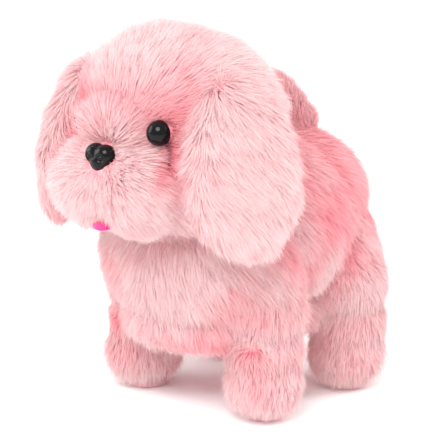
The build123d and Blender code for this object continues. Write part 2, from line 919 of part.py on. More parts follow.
speaker_lead_x = 8.5
speaker_lead_y = board_y1 - 2.0
speaker_lead_z = speaker_z - 2.0
motor_lead_y = board_y1 - 5.0
board_lead_y = board_y0 + 2.0
switch_lead_x = 5.0
switch_rear_y = switch_y + 2.6
switch_lead_y = switch_rear_y + 3.3
switch_lead_z = switch_body_z + 2.0
right_lead_x = -15.5
left_lead_x = tab_x

leads = []
for x in (speaker_lead_x, -speaker_lead_x):
    leads.append(
        wire(
            (x, speaker_lead_y, board_top_z),
            (x, speaker_lead_y, speaker_lead_z),
            (x, speaker_face_y - 3.2, speaker_lead_z),
        )
    )
for x in (-12.5, -16.0):
    leads.append(
        wire(
            (x, motor_lead_y, board_top_z),
            (x, motor_lead_y, motor_z),
            (x, motor_y + motor_radius, motor_z),
        )
    )
# left terminal to the switch
leads.append(
    wire(
        (switch_lead_x, switch_rear_y, switch_lead_z),
        (switch_lead_x, switch_lead_y, switch_lead_z),
        (switch_lead_x, switch_lead_y, lead_z),
        (left_lead_x, switch_lead_y, lead_z),
        (left_lead_x, contact_front_y, lead_z),
    )
)
# switch to the board, round the right-hand side
leads.append(
    wire(
        (-switch_lead_x, switch_rear_y, switch_lead_z),
        (-switch_lead_x, switch_lead_y, switch_lead_z),
        (-switch_lead_x, switch_lead_y, cell_z + 2.0),
        (right_lead_x, switch_lead_y, cell_z + 2.0),
        (right_lead_x, switch_lead_y, lead_z),
        (right_lead_x, board_lead_y, lead_z),
        (right_lead_x, board_lead_y, board_top_z),
    )
)
# right terminal to the board
leads.append(
    wire(
        (-tab_x, contact_front_y + contact_thickness, lead_z),
        (-tab_x, board_lead_y, lead_z),
        (-tab_x, board_lead_y, board_top_z),
    )
)
lead_wires = Compound(children=leads)

# ---------------------------------------------------------------- neck pin and head frame
neck_pin_half = neck_lug_inner_x + neck_lug_thickness
neck_pin = rod_x(neck_pin_radius, -neck_pin_half, neck_pin_half, neck_pivot_y, neck_pivot_z)
neck_hub_half = neck_lug_inner_x - side_gap
skull_half_width = 20.0
skull_front_y = neck_pivot_y - 26.0
skull_rear_y = neck_pivot_y + 14.0
skull_bottom_z = neck_pivot_z + 8.0
skull_top_z = skull_bottom_z + 36.0


def nod_arm():
    """The arm from the neck hub down to a fork round the nod gear's pin."""
    knee_y = neck_pivot_y + 12.0
    reach = math.hypot(knee_y - neck_pivot_y, neck_pivot_z - nod_gear_z)
    lean = math.degrees(math.atan2(nod_gear_z - neck_pivot_z, knee_y - neck_pivot_y))
    upper = slot_x(
        reach + 5.0,
        5.0,
        nod_arm_x0,
        nod_arm_x1,
        (knee_y + neck_pivot_y) / 2,
        (nod_gear_z + neck_pivot_z) / 2,
        lean,
    )
    fork_end_y = nod_gear_y + 4.5
    lower = block(
        nod_arm_x0, nod_arm_x1, knee_y - 2.0, fork_end_y, nod_gear_z - 3.0, nod_gear_z + 3.0
    )
    gap_half = nod_pin_radius + 0.1
    gap = block(
        nod_arm_x0 - 1,
        nod_arm_x1 + 1,
        nod_gear_y - nod_crank_radius - 2.5,
        fork_end_y + 1,
        nod_gear_z - gap_half,
        nod_gear_z + gap_half,
    )
    return upper + lower - gap


def head_frame_solid():
    """The neck hub, its arm and post, and the skull box that the face hangs on."""
    frame = rod_x(neck_lug_radius, -neck_hub_half, neck_hub_half, neck_pivot_y, neck_pivot_z)
    frame += block(
        -4.0, 4.0, neck_pivot_y - 4.0, neck_pivot_y + 4.0, neck_pivot_z, skull_bottom_z + wall
    )
    skull = soft_block(
        -skull_half_width,
        skull_half_width,
        skull_front_y,
        skull_rear_y,
        skull_bottom_z,
        skull_top_z,
        8.0,
    )
    inside = soft_block(
        -skull_half_width + wall,
        skull_half_width - wall,
        skull_front_y + wall,
        skull_rear_y - wall,
        skull_bottom_z + wall,
        skull_top_z - wall,
        6.0,
    )
    window = block(-12, 12, skull_rear_y - 10, skull_rear_y + 5, skull_bottom_z + 9, skull_top_z - 9)
    frame += skull - inside - window
    return frame


head_frame = head_frame_solid() + nod_arm()
head_frame -= rod_x(neck_pin_radius + running_clearance, -30, 30, neck_pivot_y, neck_pivot_z)

# ---------------------------------------------------------------- soft head, face and ears
head_middle_y = (head_rear_y + head_front_y) / 2
head_middle_z = (overall_height + head_bottom_z) / 2
head_half_length = (head_rear_y - head_front_y) / 2
head_half_height = (overall_height - head_bottom_z) / 2
muzzle_half_depth = 18.0
muzzle_middle_y = muzzle_front_y + muzzle_half_depth
muzzle_middle_z = muzzle_bottom_z + muzzle_height / 2


def ball(x, y, z, half_x, half_y, half_z):
    """An ellipsoid, made of a rear half and its mirror image so that no face closes on itself."""
    unit = half_x
    rear = Sphere(unit, arc_size3=180, align=None)
    rear = scale(rear, by=(1, half_y / unit, half_z / unit))
    return Pos(x, y, z) * (rear + mirror(rear, about=Plane.XZ))


def head_ball(grow):
    return ball(
        0,
        head_middle_y,
        head_middle_z,
        head_width / 2 + grow,
        head_half_length + grow,
        head_half_height + grow,
    )


def muzzle_ball(grow):
    return ball(
        0,
        muzzle_middle_y,
        muzzle_middle_z,
        muzzle_half_width + grow,
        muzzle_half_depth + grow,
        muzzle_height / 2 + grow,
    )


ear_x = head_width / 2 + 1.0
ear_y = head_middle_y - 13.5
ear_corner = 24.0


def ear_solid(grow):
    """The left ear: a flat padded paddle that hangs from the top of the head."""
    half_width = ear_width / 2 + grow
    paddle = block(
        -ear_thickness / 2 - grow,
        ear_thickness / 2 + grow,
        -half_width,
        half_width,
        ear_tip_z - grow,
        ear_tip_z + ear_length + grow,
    )
    paddle = fillet(paddle.edges().filter_by(Axis.X), ear_corner)
    return Pos(ear_x, ear_y, 0) * Rot(0, 0, -ear_turn) * paddle


ear_left = ear_solid(0)
ear_right = to_right(ear_left)

eye_y = head_middle_y - head_half_length * math.sqrt(
    1 - (2 * eye_x / head_width) ** 2 - ((eye_z - head_middle_z) / head_half_height) ** 2
)
eye_stem_length = 9.0
eye_stem_radius = 1.6
washer_radius = 5.0
washer_thickness = 1.2


def eye(side):
    """A domed eye with the stem that holds it in the pelt."""
    dome = Pos(side * eye_x, eye_y + 1.0, eye_z) * Sphere(eye_radius)
    dome -= block(-60, 60, eye_y + 2.0, eye_y + 20.0, 0, overall_height)
    return dome + rod_y(eye_stem_radius, eye_y, eye_y + eye_stem_length, side * eye_x, eye_z)


eye_left = eye(1)
eye_right = eye(-1)


def washer(x, y, z, stem):
    ring = rod_y(washer_radius, y, y + washer_thickness, x, z)
    return ring - rod_y(stem, y - 1, y + washer_thickness + 1, x, z)


eye_washer_y = eye_y + eye_stem_length - washer_thickness - 1.0
eye_washers = Compound(
    children=[washer(side * eye_x, eye_washer_y, eye_z, eye_stem_radius) for side in (1, -1)]
)

nose_half_depth = 5.0
nose_y = nose_tip_y + nose_half_depth
nose_stem_radius = 2.0
nose_stem_end_y = nose_y + 13.0
nose = ball(0, nose_y, nose_z, 7.2, nose_half_depth, 6.2)
nose += rod_y(nose_stem_radius, nose_y, nose_stem_end_y, 0, nose_z)
nose_washer_y = nose_stem_end_y - washer_thickness - 1.0
nose_washer = washer(0, nose_washer_y, nose_z, nose_stem_radius)

tongue_z = muzzle_bottom_z + 3.0
tongue = block(-6.5, 6.5, nose_tip_y + 3.0, nose_tip_y + 16.0, tongue_z, tongue_z + 1.2)
tongue = fillet(tongue.edges().filter_by(Axis.Z).group_by(Axis.Y)[0], 5.0)

skull_space = soft_block(
    -skull_half_width - soft_gap,
    skull_half_width + soft_gap,
    skull_front_y - soft_gap,
    skull_rear_y + soft_gap,
    skull_bottom_z - soft_gap,
    skull_top_z + soft_gap,
    8.0,
)
neck_space = rod_z(neck_opening_radius, 0, skull_bottom_z + 4.0, 0, neck_pivot_y)
face_pieces = [eye_left, eye_right, *eye_washers.solids(), nose, nose_washer, tongue]

muzzle_pelt = muzzle_ball(0) - skull_space - neck_space - ear_left - ear_right
head_pelt = head_ball(0) - muzzle_ball(0.05) - skull_space - neck_space - ear_left - ear_right
for piece in face_pieces:
    muzzle_pelt -= piece
    head_pelt -= piece

# ---------------------------------------------------------------- tail
tail_hub_z = housing_top_z + 0.3
tail_post_top_z = housing_top_z + 34.0
tail_clip_z = tail_boss_z0 - 1.4
tail_core = rod_z(tail_hub_radius, tail_hub_z, tail_post_top_z, 0, tail_pivot_y)
tail_core += rod_z(tail_pin_radius, tail_clip_z - 0.4, tail_hub_z, 0, tail_pivot_y)
tail_clip = rod_z(2.8, tail_clip_z, tail_clip_z + 1.2, 0, tail_pivot_y)
tail_clip -= rod_z(tail_pin_radius, 0, housing_top_z, 0, tail_pivot_y)

tail_radius = 9.0
tail_path = ThreePointArc(
    (0, tail_pivot_y, housing_top_z + 31.0),
    (0, tail_pivot_y - 5.0, housing_top_z + 41.5),
    (0, tail_pivot_y - 19.0, housing_top_z + 50.5),
)
tail_section = Plane(tail_path @ 0, z_dir=tail_path % 0) * Circle(tail_radius)
tail_pelt = sweep(tail_section, path=tail_path)
for end in (0, 1):
    tail_pelt += Pos(tail_path @ end) * Sphere(tail_radius)
tail_pelt -= rod_z(tail_hub_radius, 0, tail_post_top_z, 0, tail_pivot_y)

# ---------------------------------------------------------------- body pelt
body_bottom_z = belly_plate_bottom_z
body_top_z = body_bottom_z + body_pelt_height
body_round = 38.0
body_front_y = rump_y - body_pelt_length
body_pelt = soft_block(
    -body_width / 2, body_width / 2, body_front_y, rump_y, body_bottom_z, body_top_z, body_round
)
body_pelt -= block(
    -housing_half_width - soft_gap,
    housing_half_width + soft_gap,
    housing_front_y - soft_gap,
    housing_rear_y + soft_gap,
    0,
    housing_top_z + soft_gap,
)
linkage_half_width = bar_outer_x + 2.5
body_pelt -= block(
    -linkage_half_width,
    linkage_half_width,
    front_hip_y - 15.0,
    rear_hip_y + 15.0,
    0,
    crank_z + 12.0,
)
leg_space_y = 25.0
leg_space_top_z = hip_height + 2.0
for y in (front_hip_y, rear_hip_y):
    body_pelt -= block(
        -overall_length, overall_length, y - leg_space_y, y + leg_space_y, 0, leg_space_top_z
    )
body_pelt -= head_ball(7.0) + muzzle_ball(8.0)
body_pelt -= rod_z(neck_opening_radius, housing_top_z - 8, overall_height, 0, neck_pivot_y)
body_pelt -= ear_solid(5.0) + to_right(ear_solid(5.0))
body_pelt -= rod_z(tail_hub_radius + 1.0, housing_top_z, body_top_z, 0, tail_pivot_y)
tail_space_z = housing_top_z + 20.0
body_pelt -= rod_z(tail_radius + 10.0, tail_space_z, body_top_z + 1, 0, tail_pivot_y)

# ---------------------------------------------------------------- every piece to its file
pieces = {
    "housing_left": housing_left,
    "housing_right": housing_right,
    "housing_screws": housing_screws,
    "hip_screws": hip_screws,
    "gearbox_plate": gearbox_plate,
    "gear_pins": gear_pins,
    "motor": motor,
    "motor_shaft": motor_shaft,
    "motor_pinion": motor_pinion,
    "idler_1_gear": idler_1_gear,
    "idler_2_gear": idler_2_gear,
    "output_gear": output_gear,
    "timing_gear": timing_gear,
    "nod_gear": nod_gear,
    "crank_shaft": crank_shaft,
    "crank_disc_left": crank_disc_left,
    "crank_disc_right": crank_disc_right,
    "tie_bar_left": tie_bar_left,
    "tie_bar_right": tie_bar_right,
    "battery_tray": battery_tray,
    "battery_cells": battery_cells,
    "battery_springs": battery_springs,
    "battery_contacts": battery_contacts,
    "battery_door": battery_door,
    "door_screws": door_screws,
    "switch_body": switch_body,
    "switch_slider": switch_slider,
    "sound_board": sound_board,
    "speaker": speaker,
    "lead_wires": lead_wires,
    "neck_pin": neck_pin,
    "head_frame": head_frame,
    "head_pelt": head_pelt,
    "muzzle_pelt": muzzle_pelt,
    "ear_left": ear_left,
    "ear_right": ear_right,
    "eye_left": eye_left,
    "eye_right": eye_right,
    "eye_washers": eye_washers,
    "nose": nose,
    "nose_washer": nose_washer,
    "tongue": tongue,
    "tail_core": tail_core,
    "tail_clip": tail_clip,
    "tail_pelt": tail_pelt,
    "body_pelt": body_pelt,
    **legs,
}
for name, shape in pieces.items():
    export_step(shape, f"parts/{name}.step")
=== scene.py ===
# %% [markdown]
# # A walking plush puppy
# The frame of the toy, its gears, legs, eyes and nose, comes from the imported model.
# This lesson dresses it: a padded pelt on each moving part, and a long pile that grows on the
# pelts. The pelts of the trunk, head, ears and tail ride on the body that each is sewn to, so the
# dressed toy still nods and wags.

# %% Load the frame
import bpy
import bmesh
import json
import math
import numpy as np
from mathutils import Euler, Matrix, Vector


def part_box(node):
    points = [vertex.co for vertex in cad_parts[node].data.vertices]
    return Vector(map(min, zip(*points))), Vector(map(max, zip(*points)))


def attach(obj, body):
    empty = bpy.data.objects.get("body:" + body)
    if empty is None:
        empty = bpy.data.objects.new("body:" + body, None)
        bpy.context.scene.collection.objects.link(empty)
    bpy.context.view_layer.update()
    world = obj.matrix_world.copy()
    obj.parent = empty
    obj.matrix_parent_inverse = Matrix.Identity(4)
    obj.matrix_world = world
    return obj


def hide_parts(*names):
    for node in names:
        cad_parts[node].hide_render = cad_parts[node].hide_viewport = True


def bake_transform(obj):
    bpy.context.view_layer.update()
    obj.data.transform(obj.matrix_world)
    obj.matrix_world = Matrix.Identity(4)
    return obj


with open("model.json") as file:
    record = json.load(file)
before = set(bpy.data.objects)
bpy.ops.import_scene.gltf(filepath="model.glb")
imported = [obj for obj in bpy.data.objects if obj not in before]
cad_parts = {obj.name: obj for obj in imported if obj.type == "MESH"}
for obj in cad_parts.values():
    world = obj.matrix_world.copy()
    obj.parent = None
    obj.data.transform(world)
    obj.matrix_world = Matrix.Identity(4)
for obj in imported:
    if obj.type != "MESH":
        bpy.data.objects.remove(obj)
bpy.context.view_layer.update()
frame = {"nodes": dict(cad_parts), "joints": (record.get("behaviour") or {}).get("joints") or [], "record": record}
MM = 0.001

# %% Landmarks that the rest is placed from
def middle(node):
    low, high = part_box(node)
    return (Vector(low) + Vector(high)) / 2


nose_low, nose_high = (Vector(corner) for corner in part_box("nose"))
nose_tip = Vector((0, nose_low.y, (nose_low.z + nose_high.z) / 2))
eyes = [middle("eye_left"), middle("eye_right")]
for eye in eyes:
    eye.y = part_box("eye_left")[0][1] + 5 * MM
hips = {}
for joint in frame["joints"]:
    if joint["name"].startswith("hip_"):
        hips[joint["name"][4:]] = Vector(joint["pos_m"])
leg_x = middle("foot_pad_front_left").x
print("nose", nose_tip, "hips", hips)

# %% [markdown]
# A plush toy's colours are easiest to pick as the hex values that paint and fabric charts use.
# Blender works in linear light, so one function converts them.

# %% Colours and nodes
def linear(code):
    """A hex sRGB colour as linear red, green, blue and alpha."""
    parts = [int(code[start:start + 2], 16) / 255 for start in (1, 3, 5)]
    curve = [c / 12.92 if c <= 0.04045 else ((c + 0.055) / 1.055) ** 2.4 for c in parts]
    return (*curve, 1.0)


def add(tree, kind, inputs=None, **settings):
    """Add a node, set it, and give each named input a value or the output to link it to."""
    node = tree.nodes.new(kind)
    for key, value in settings.items():
        setattr(node, key, value)
    for socket, value in (inputs or {}).items():
        if isinstance(value, bpy.types.NodeSocket):
            tree.links.new(value, node.inputs[socket])
        else:
            node.inputs[socket].default_value = value
    return node


def new_material(name):
    """An empty material with its output, and the tree to add to."""
    material = bpy.data.materials.new(name)
    material.use_nodes = True
    material.node_tree.nodes.clear()
    output = add(material.node_tree, "ShaderNodeOutputMaterial")
    return material, material.node_tree, output


# %% [markdown]
# ## Plush
# The pile is dyed acrylic fibre, brushed up and then polished, so its roots are dense and its tips
# fray to almost white. The roots are painted a more saturated pink, partly for the dye and partly as
# painted shade down in the pile. Each strand carries four numbers: how far along it a point is, how
# deep its dye and painted shading are there, a random tone of its own, and how far it stands from
# its tuft's middle, which paints the gaps between tufts a deeper pink as painted shade. A ramp turns
# them into colour.
# Acrylic scatters light softly, which the sheen lobe stands for. Between so many fibres the light
# is passed on more often than a render follows, and a faint glow of their own colour stands for it.

# %% Pile material
def ramp(tree, factor, stops):
    """A colour ramp through the stops, each a place and a hex colour."""
    node = add(tree, "ShaderNodeValToRGB", {"Fac": factor})
    elements = node.color_ramp.elements
    while len(elements) < len(stops):
        elements.new(0.5)
    for element, (place, code) in zip(elements, stops):
        element.position = place
        element.color = linear(code)
    return node.outputs["Color"]


# The first number is how much deeper pink the gaps between tufts are painted, as painted shade.
CREVICE_SHADE_DEPTH, UNDYED = 0.3, 0.15
THROUGH, GLOW = 0.5, 0.14


def acrylic_pile(name, pale, deep):
    """Polished acrylic pile: pale and deep are its root, middle and tip colours."""
    material, tree, output = new_material(name)
    along, dye_and_painted_shading, shade, crevice_shade = (
        add(tree, "ShaderNodeAttribute", attribute_name=kind).outputs["Fac"]
        for kind in ("along", "dye_and_painted_shading", "shade", "crevice_shade")
    )
    places = (0.0, 0.5, 1.0)
    # Strands far from their tuft's middle are made deeper pink: painted shade in the gaps between tufts.
    deeper = add(
        tree, "ShaderNodeMath", {0: crevice_shade, 1: CREVICE_SHADE_DEPTH, 2: dye_and_painted_shading}, operation="MULTIPLY_ADD"
    ).outputs[0]
    dyed_and_shaded = add(
        tree,
        "ShaderNodeMixRGB",
        {
            "Fac": add(
                tree,
                "ShaderNodeMath",
                {0: deeper, 1: UNDYED},
                operation="SUBTRACT",
                use_clamp=True,
            ).outputs[0],
            "Color1": ramp(tree, along, list(zip(places, pale))),
            "Color2": ramp(tree, along, list(zip(places, deep))),
        },
    ).outputs["Color"]
    # Where the depth passes 1 the colour runs to a dark red: painted shade in the creases and seams of the face.
    crease_shade = add(tree, "ShaderNodeMapRange", {"Value": dye_and_painted_shading, "From Min": 1.0, "From Max": 2.0})
    dyed_and_shaded = add(
        tree,
        "ShaderNodeMixRGB",
        {"Fac": crease_shade.outputs["Result"], "Color1": dyed_and_shaded, "Color2": linear("#8c3a4c")},
    ).outputs["Color"]
    value = add(
        tree, "ShaderNodeMapRange", {"Value": shade, "To Min": 0.94, "To Max": 1.03}
    ).outputs["Result"]
    colour = add(tree, "ShaderNodeHueSaturation", {"Color": dyed_and_shaded, "Value": value}).outputs["Color"]
    front = add(
        tree,
        "ShaderNodeBsdfPrincipled",
        {
            "Base Color": colour,
            "Roughness": 0.75,
            "Specular IOR Level": 0.2,
            "Sheen Weight": 0.2,
            "Sheen Roughness": 0.5,
            "Sheen Tint": linear("#ffe9e6"),
            "Emission Color": colour,
            "Emission Strength": GLOW,
        },
    ).outputs["BSDF"]
    through = add(tree, "ShaderNodeBsdfTranslucent", {"Color": colour}).outputs["BSDF"]
    shader = add(tree, "ShaderNodeMixShader", {0: THROUGH, 1: front, 2: through})
    tree.links.new(shader.outputs["Shader"], output.inputs["Surface"])
    return material


pink_pile = acrylic_pile(
    "pink acrylic pile",
    pale=("#ebbfc3", "#ebced0", "#ecdddc"),
    deep=("#ea8593", "#ed99a4", "#efbbc0"),
)
print("made", pink_pile.name)

# %% [markdown]
# Under the pile is the warp-knit backing it is sewn into. It shows only where the pile parts, as
# a deeper pink with fine ribs; that deeper pink is partly its own colour and partly painted shade for
# the gaps in the pile. Real ribs are under a millimetre apart, so they are drawn at 1 mm.

# %% Knit backing
def knit_backing():
    """Warp-knit polyester backing, matt, with fine ribs."""
    material, tree, output = new_material("knit backing")
    place = add(tree, "ShaderNodeTexCoord").outputs["Object"]
    ribs = add(
        tree,
        "ShaderNodeTexWave",
        {"Vector": place, "Scale": 1 / (20 * MM), "Distortion": 1.5},
    )
    colour = ramp(tree, ribs.outputs["Fac"], [(0.0, "#ee8a98"), (1.0, "#f4a3ad")])
    bump = add(tree, "ShaderNodeBump", {"Height": ribs.outputs["Fac"], "Distance": 0.2 * MM})
    shader = add(
        tree,
        "ShaderNodeBsdfPrincipled",
        {"Base Color": colour, "Roughness": 0.95, "Normal": bump.outputs["Normal"]},
    )
    tree.links.new(shader.outputs["BSDF"], output.inputs["Surface"])
    return material


backing = knit_backing()
print("made", backing.name)

# %% [markdown]
# ## Moulded, rolled and drawn pieces
# The eyes and the nose are injection moulded and polished, so they are almost mirrors with a hard
# highlight, on a black that reflects little else. The mechanism's mouldings are left as they come
# out of the tool: satin, with a faint grain. One recipe covers them all: a colour that varies a
# little, and a fine bump of the size that the surface really has.

# %% Hard finishes
def finish(
    name,
    code,
    rough,
    grain,
    bump=0.05,
    metal=0.0,
    sheen=0.0,
    coat=0.0,
    shine=0.5,
    stretch=(1, 1, 1),
):
    """A surface whose colour, gloss and height vary over grains of the size given in mm."""
    material, tree, output = new_material(name)
    place = add(tree, "ShaderNodeTexCoord").outputs["Object"]
    turned = add(tree, "ShaderNodeMapping", {"Vector": place, "Scale": stretch}).outputs["Vector"]
    spots = add(
        tree,
        "ShaderNodeTexNoise",
        {"Vector": turned, "Scale": 1 / (grain * MM), "Detail": 4.0, "Roughness": 0.6},
    ).outputs["Fac"]
    clouds = add(
        tree, "ShaderNodeTexNoise", {"Vector": place, "Scale": 1 / (18 * MM), "Detail": 2.0}
    ).outputs["Fac"]
    colour = linear(code)
    low = [c * 0.86 for c in colour[:3]]
    high = [min(1.0, c * 1.08) for c in colour[:3]]
    blended = add(tree, "ShaderNodeValToRGB", {"Fac": clouds})
    blended.color_ramp.elements[0].color = (*low, 1)
    blended.color_ramp.elements[0].position = 0.3
    blended.color_ramp.elements[1].color = (*high, 1)
    blended.color_ramp.elements[1].position = 0.7
    gloss = add(
        tree,
        "ShaderNodeMapRange",
        {"Value": spots, "To Min": rough * 0.85, "To Max": min(1.0, rough * 1.2)},
    ).outputs["Result"]
    height = add(tree, "ShaderNodeBump", {"Height": spots, "Distance": bump * MM, "Strength": 0.6})
    shader = add(
        tree,
        "ShaderNodeBsdfPrincipled",
        {
            "Base Color": blended.outputs["Color"],
            "Roughness": gloss,
            "Metallic": metal,
            "Sheen Weight": sheen,
            "Specular IOR Level": shine,
            "Coat Weight": coat,
            "Coat Roughness": 0.03,
            "Normal": height.outputs["Normal"],
        },
    )
    tree.links.new(shader.outputs["BSDF"], output.inputs["Surface"])
    return material


slots = {
    "black_gloss": finish("polished black acrylic", "#060507", 0.12, 3.0, bump=0.01, shine=0.22),
    "felt": finish("needled wool felt", "#ff2f80", 0.9, 0.6, bump=0.25, sheen=0.5),
    "housing_plastic": finish("moulded white ABS", "#e9e6e2", 0.45, 0.3),
    "gear_plastic": finish("natural acetal", "#f2efe6", 0.35, 0.4),
    "crank_plastic": finish("blue acetal", "#3d8fd0", 0.35, 0.4),
    "door_plastic": finish("moulded pink ABS", "#f3a9bb", 0.42, 0.3),
    "switch_plastic": finish("black nylon", "#16161a", 0.5, 0.3),
    "sole_rubber": finish("moulded pink rubber", "#ecbcc2", 0.75, 0.5, bump=0.1),
    "steel": finish("drawn steel", "#b9bbbe", 0.3, 0.4, metal=1.0, stretch=(0.1, 1, 1)),
    "spring_steel": finish("nickel plate", "#c9cbce", 0.16, 0.4, metal=1.0),
    "screw_steel": finish("zinc plate", "#8d8f93", 0.35, 0.3, metal=1.0),
    "cell_wrap": finish("shrunk vinyl sleeve", "#2f3338", 0.25, 0.8, coat=0.3),
    "board": finish("solder mask", "#2f6b3c", 0.3, 0.6, coat=0.3),
    "speaker_steel": finish("painted steel", "#3a3a3d", 0.5, 0.5),
    "wire": finish("PVC insulation", "#b32a2a", 0.45, 0.4),
}
slots["plush"] = backing
slots["plush_light"] = backing

# %% Every CAD node takes the finish of its slot
slot_of = {part["node"]: part["material_slot"] for part in frame["record"]["subparts"]}
for node, piece in frame["nodes"].items():
    piece.data.materials.clear()
    piece.data.materials.append(slots[slot_of[node]])
print("dressed", len(frame["nodes"]), "nodes")

# %% [markdown]
# ## Padded pelts
# Each pelt is a stuffed bag of pile fabric. Its form is a few soft bulges that run together, so it
# is built from ellipsoids, joined by a voxel remesh and smoothed until the joins read as the
# shallow folds that stuffing makes. A ball is its middle, its half sizes and its turn about X, Y
# and Z in degrees.

# %% Pelt builder
UNTURNED = (0, 0, 0)


def to_object(name, mesh):
    piece = bpy.data.objects.new(name, mesh)
    bpy.context.scene.collection.objects.link(piece)
    return piece


def freeze(piece):
    """Replace the piece's mesh by what its modifiers make of it, and take them off."""
    graph = bpy.context.evaluated_depsgraph_get()
    mesh = bpy.data.meshes.new_from_object(piece.evaluated_get(graph))
    piece.modifiers.clear()
    old = piece.data
    piece.data = mesh
    bpy.data.meshes.remove(old)
    return piece


def pelt(name, balls, voxel=2.2, smooth=5):
    """Ellipsoids run together into one closed skin."""
    shape = bmesh.new()
    for centre, radii, turns in balls:
        turn = Euler([math.radians(angle) for angle in turns]).to_matrix().to_4x4()
        size = Matrix.Diagonal((*(r * MM for r in radii), 1))
        place = Matrix.Translation(Vector(centre) * MM) @ turn @ size
        bmesh.ops.create_icosphere(shape, subdivisions=4, radius=1.0, matrix=place)
    mesh = bpy.data.meshes.new(name)
    shape.to_mesh(mesh)
    shape.free()
    piece = to_object(name, mesh)
    remesh = piece.modifiers.new("join", "REMESH")
    remesh.mode = "VOXEL"
    remesh.voxel_size = voxel * MM
    relax = piece.modifiers.new("relax", "SMOOTH")
    relax.factor = 0.5
    relax.iterations = smooth
    freeze(piece)
    for face in piece.data.polygons:
        face.use_smooth = True
    piece.data.materials.clear()
    piece.data.materials.append(backing)
    print(name, len(piece.data.polygons), "faces")
    return piece


# %% [markdown]
# ## Pile
# Fur is the clearest case for Geometry Nodes: one strand, repeated tens of thousands of times,
# each placed by a rule. A point is scattered for each strand and a sparser set of points for the
# tufts. A strand leaves the fabric along its normal, leans the way it is combed and closes with
# its neighbours on the tuft's tip, as brushed pile does. First come a few short helpers, so that
# each rule below reads as one line.

# %% Sums on numbers and on vectors
def join(tree, node, values):
    """Give a node's inputs, in their order, values or the outputs to link them to."""
    for socket, value in zip(node.inputs, values):
        if isinstance(value, bpy.types.NodeSocket):
            tree.links.new(value, socket)
        else:
            socket.default_value = value
    return node


def number(tree, operation, *values):
    return join(tree, add(tree, "ShaderNodeMath", operation=operation), values).outputs[0]


def vector(tree, operation, *values):
    return join(tree, add(tree, "ShaderNodeVectorMath", operation=operation), values).outputs[0]


def scaled(tree, arrow, factor):
    node = add(tree, "ShaderNodeVectorMath", {"Vector": arrow, "Scale": factor}, operation="SCALE")
    return node.outputs["Vector"]


def total(tree, *arrows):
    """All the vectors added up."""
    result = arrows[0]
    for arrow in arrows[1:]:
        result = vector(tree, "ADD", result, arrow)
    return result


def centred(tree, colour):
    """A texture's colour as a vector about nothing."""
    return vector(tree, "SUBTRACT", colour, (0.5, 0.5, 0.5))


# %% Attributes that travel with the strands
def read(tree, name, kind="FLOAT"):
    """A named attribute's value."""
    node = add(tree, "GeometryNodeInputNamedAttribute", {"Name": name}, data_type=kind)
    return node.outputs["Attribute"]


def store(tree, geometry, values, kind="FLOAT"):
    """Write values on the points under their names, and give the geometry on."""
    for name, value in values.items():
        geometry = add(
            tree,
            "GeometryNodeStoreNamedAttribute",
            {"Geometry": geometry, "Name": name, "Value": value},
            data_type=kind,
            domain="POINT",
        ).outputs["Geometry"]
    return geometry


def own_chance(tree, kind, seed, low=0.0, high=1.0):
    """A random value for each point."""
    node = add(tree, "FunctionNodeRandomValue", {"Seed": seed}, data_type=kind)
    spread = [socket for socket in node.inputs if socket.enabled]
    spread[0].default_value = low
    spread[1].default_value = high
    return [socket for socket in node.outputs if socket.enabled][0]


# %% [markdown]
# The strands are scattered at random, but the tufts keep apart, as stitches do, so a Poisson disk
# spreads them. Each strand then looks up the tuft that is nearest to its root.

# %% Where strands and tufts stand
def scatter_strands(tree, given):
    """A point for each strand, and none where the pile is shaved. Each keeps the normal there."""
    grows = number(tree, "GREATER_THAN", read(tree, "pile"), 0.04)
    node = add(
        tree,
        "GeometryNodeDistributePointsOnFaces",
        {"Mesh": given["Fabric"], "Seed": given["Seed"]},
        distribute_method="RANDOM",
    )
    density = number(tree, "MULTIPLY", given["Strands per area"], grows)
    tree.links.new(density, node.inputs["Density"])
    return store(
        tree, node.outputs["Points"], {"outwards": node.outputs["Normal"]}, "FLOAT_VECTOR"
    )


def nearest_tuft(tree, given, here):
    """The middle of the tuft that is nearest to each strand."""
    tufts = add(
        tree,
        "GeometryNodeDistributePointsOnFaces",
        {"Mesh": given["Fabric"], "Distance Min": given["Tuft spacing"], "Density Max": 9e5},
        distribute_method="POISSON",
    ).outputs["Points"]
    nearest = add(tree, "GeometryNodeSampleNearest", {"Geometry": tufts}, domain="POINT")
    node = add(
        tree,
        "GeometryNodeSampleIndex",
        {"Geometry": tufts, "Index": nearest.outputs["Index"], "Value": here},
        data_type="FLOAT_VECTOR",
        domain="POINT",
    )
    return node.outputs["Value"]


# %% [markdown]
# A strand's way is its fabric's normal, plus the comb times the lean, plus a slow swirl that two
# neighbours share. The tuft's own way differs a little from tuft to tuft, which is what makes the
# coat look ruffled and not printed.

# %% Which way a strand goes, and how far
SWIRLS_PER_M, SWIRL, RUFFLE = 45.0, 1.8, 0.6
SHORTEST, LENGTH_SPREAD = 0.72, 0.5
STRAY, TWIST = 0.32, 0.6
KNEE_LIFT, KNEE_REACH = 0.34, 0.3
ROOT_DEPTH = 0.6 * MM


def ways(tree, given, here, middle_of_tuft, outwards):
    """The way of the coat here, and the way of the strand's tuft."""
    noise = add(tree, "ShaderNodeTexNoise", {"Vector": here, "Scale": SWIRLS_PER_M, "Detail": 2.0})
    swirl = scaled(tree, centred(tree, noise.outputs["Color"]), SWIRL)
    comb = scaled(tree, read(tree, "comb", "FLOAT_VECTOR"), given["Lean"])
    coat = vector(tree, "NORMALIZE", total(tree, outwards, comb, swirl))
    place = scaled(tree, middle_of_tuft, 1000.0)
    drift = add(tree, "ShaderNodeTexWhiteNoise", {"Vector": place}, noise_dimensions="3D")
    ruffle = scaled(tree, centred(tree, drift.outputs["Color"]), RUFFLE)
    return coat, total(tree, coat, ruffle)


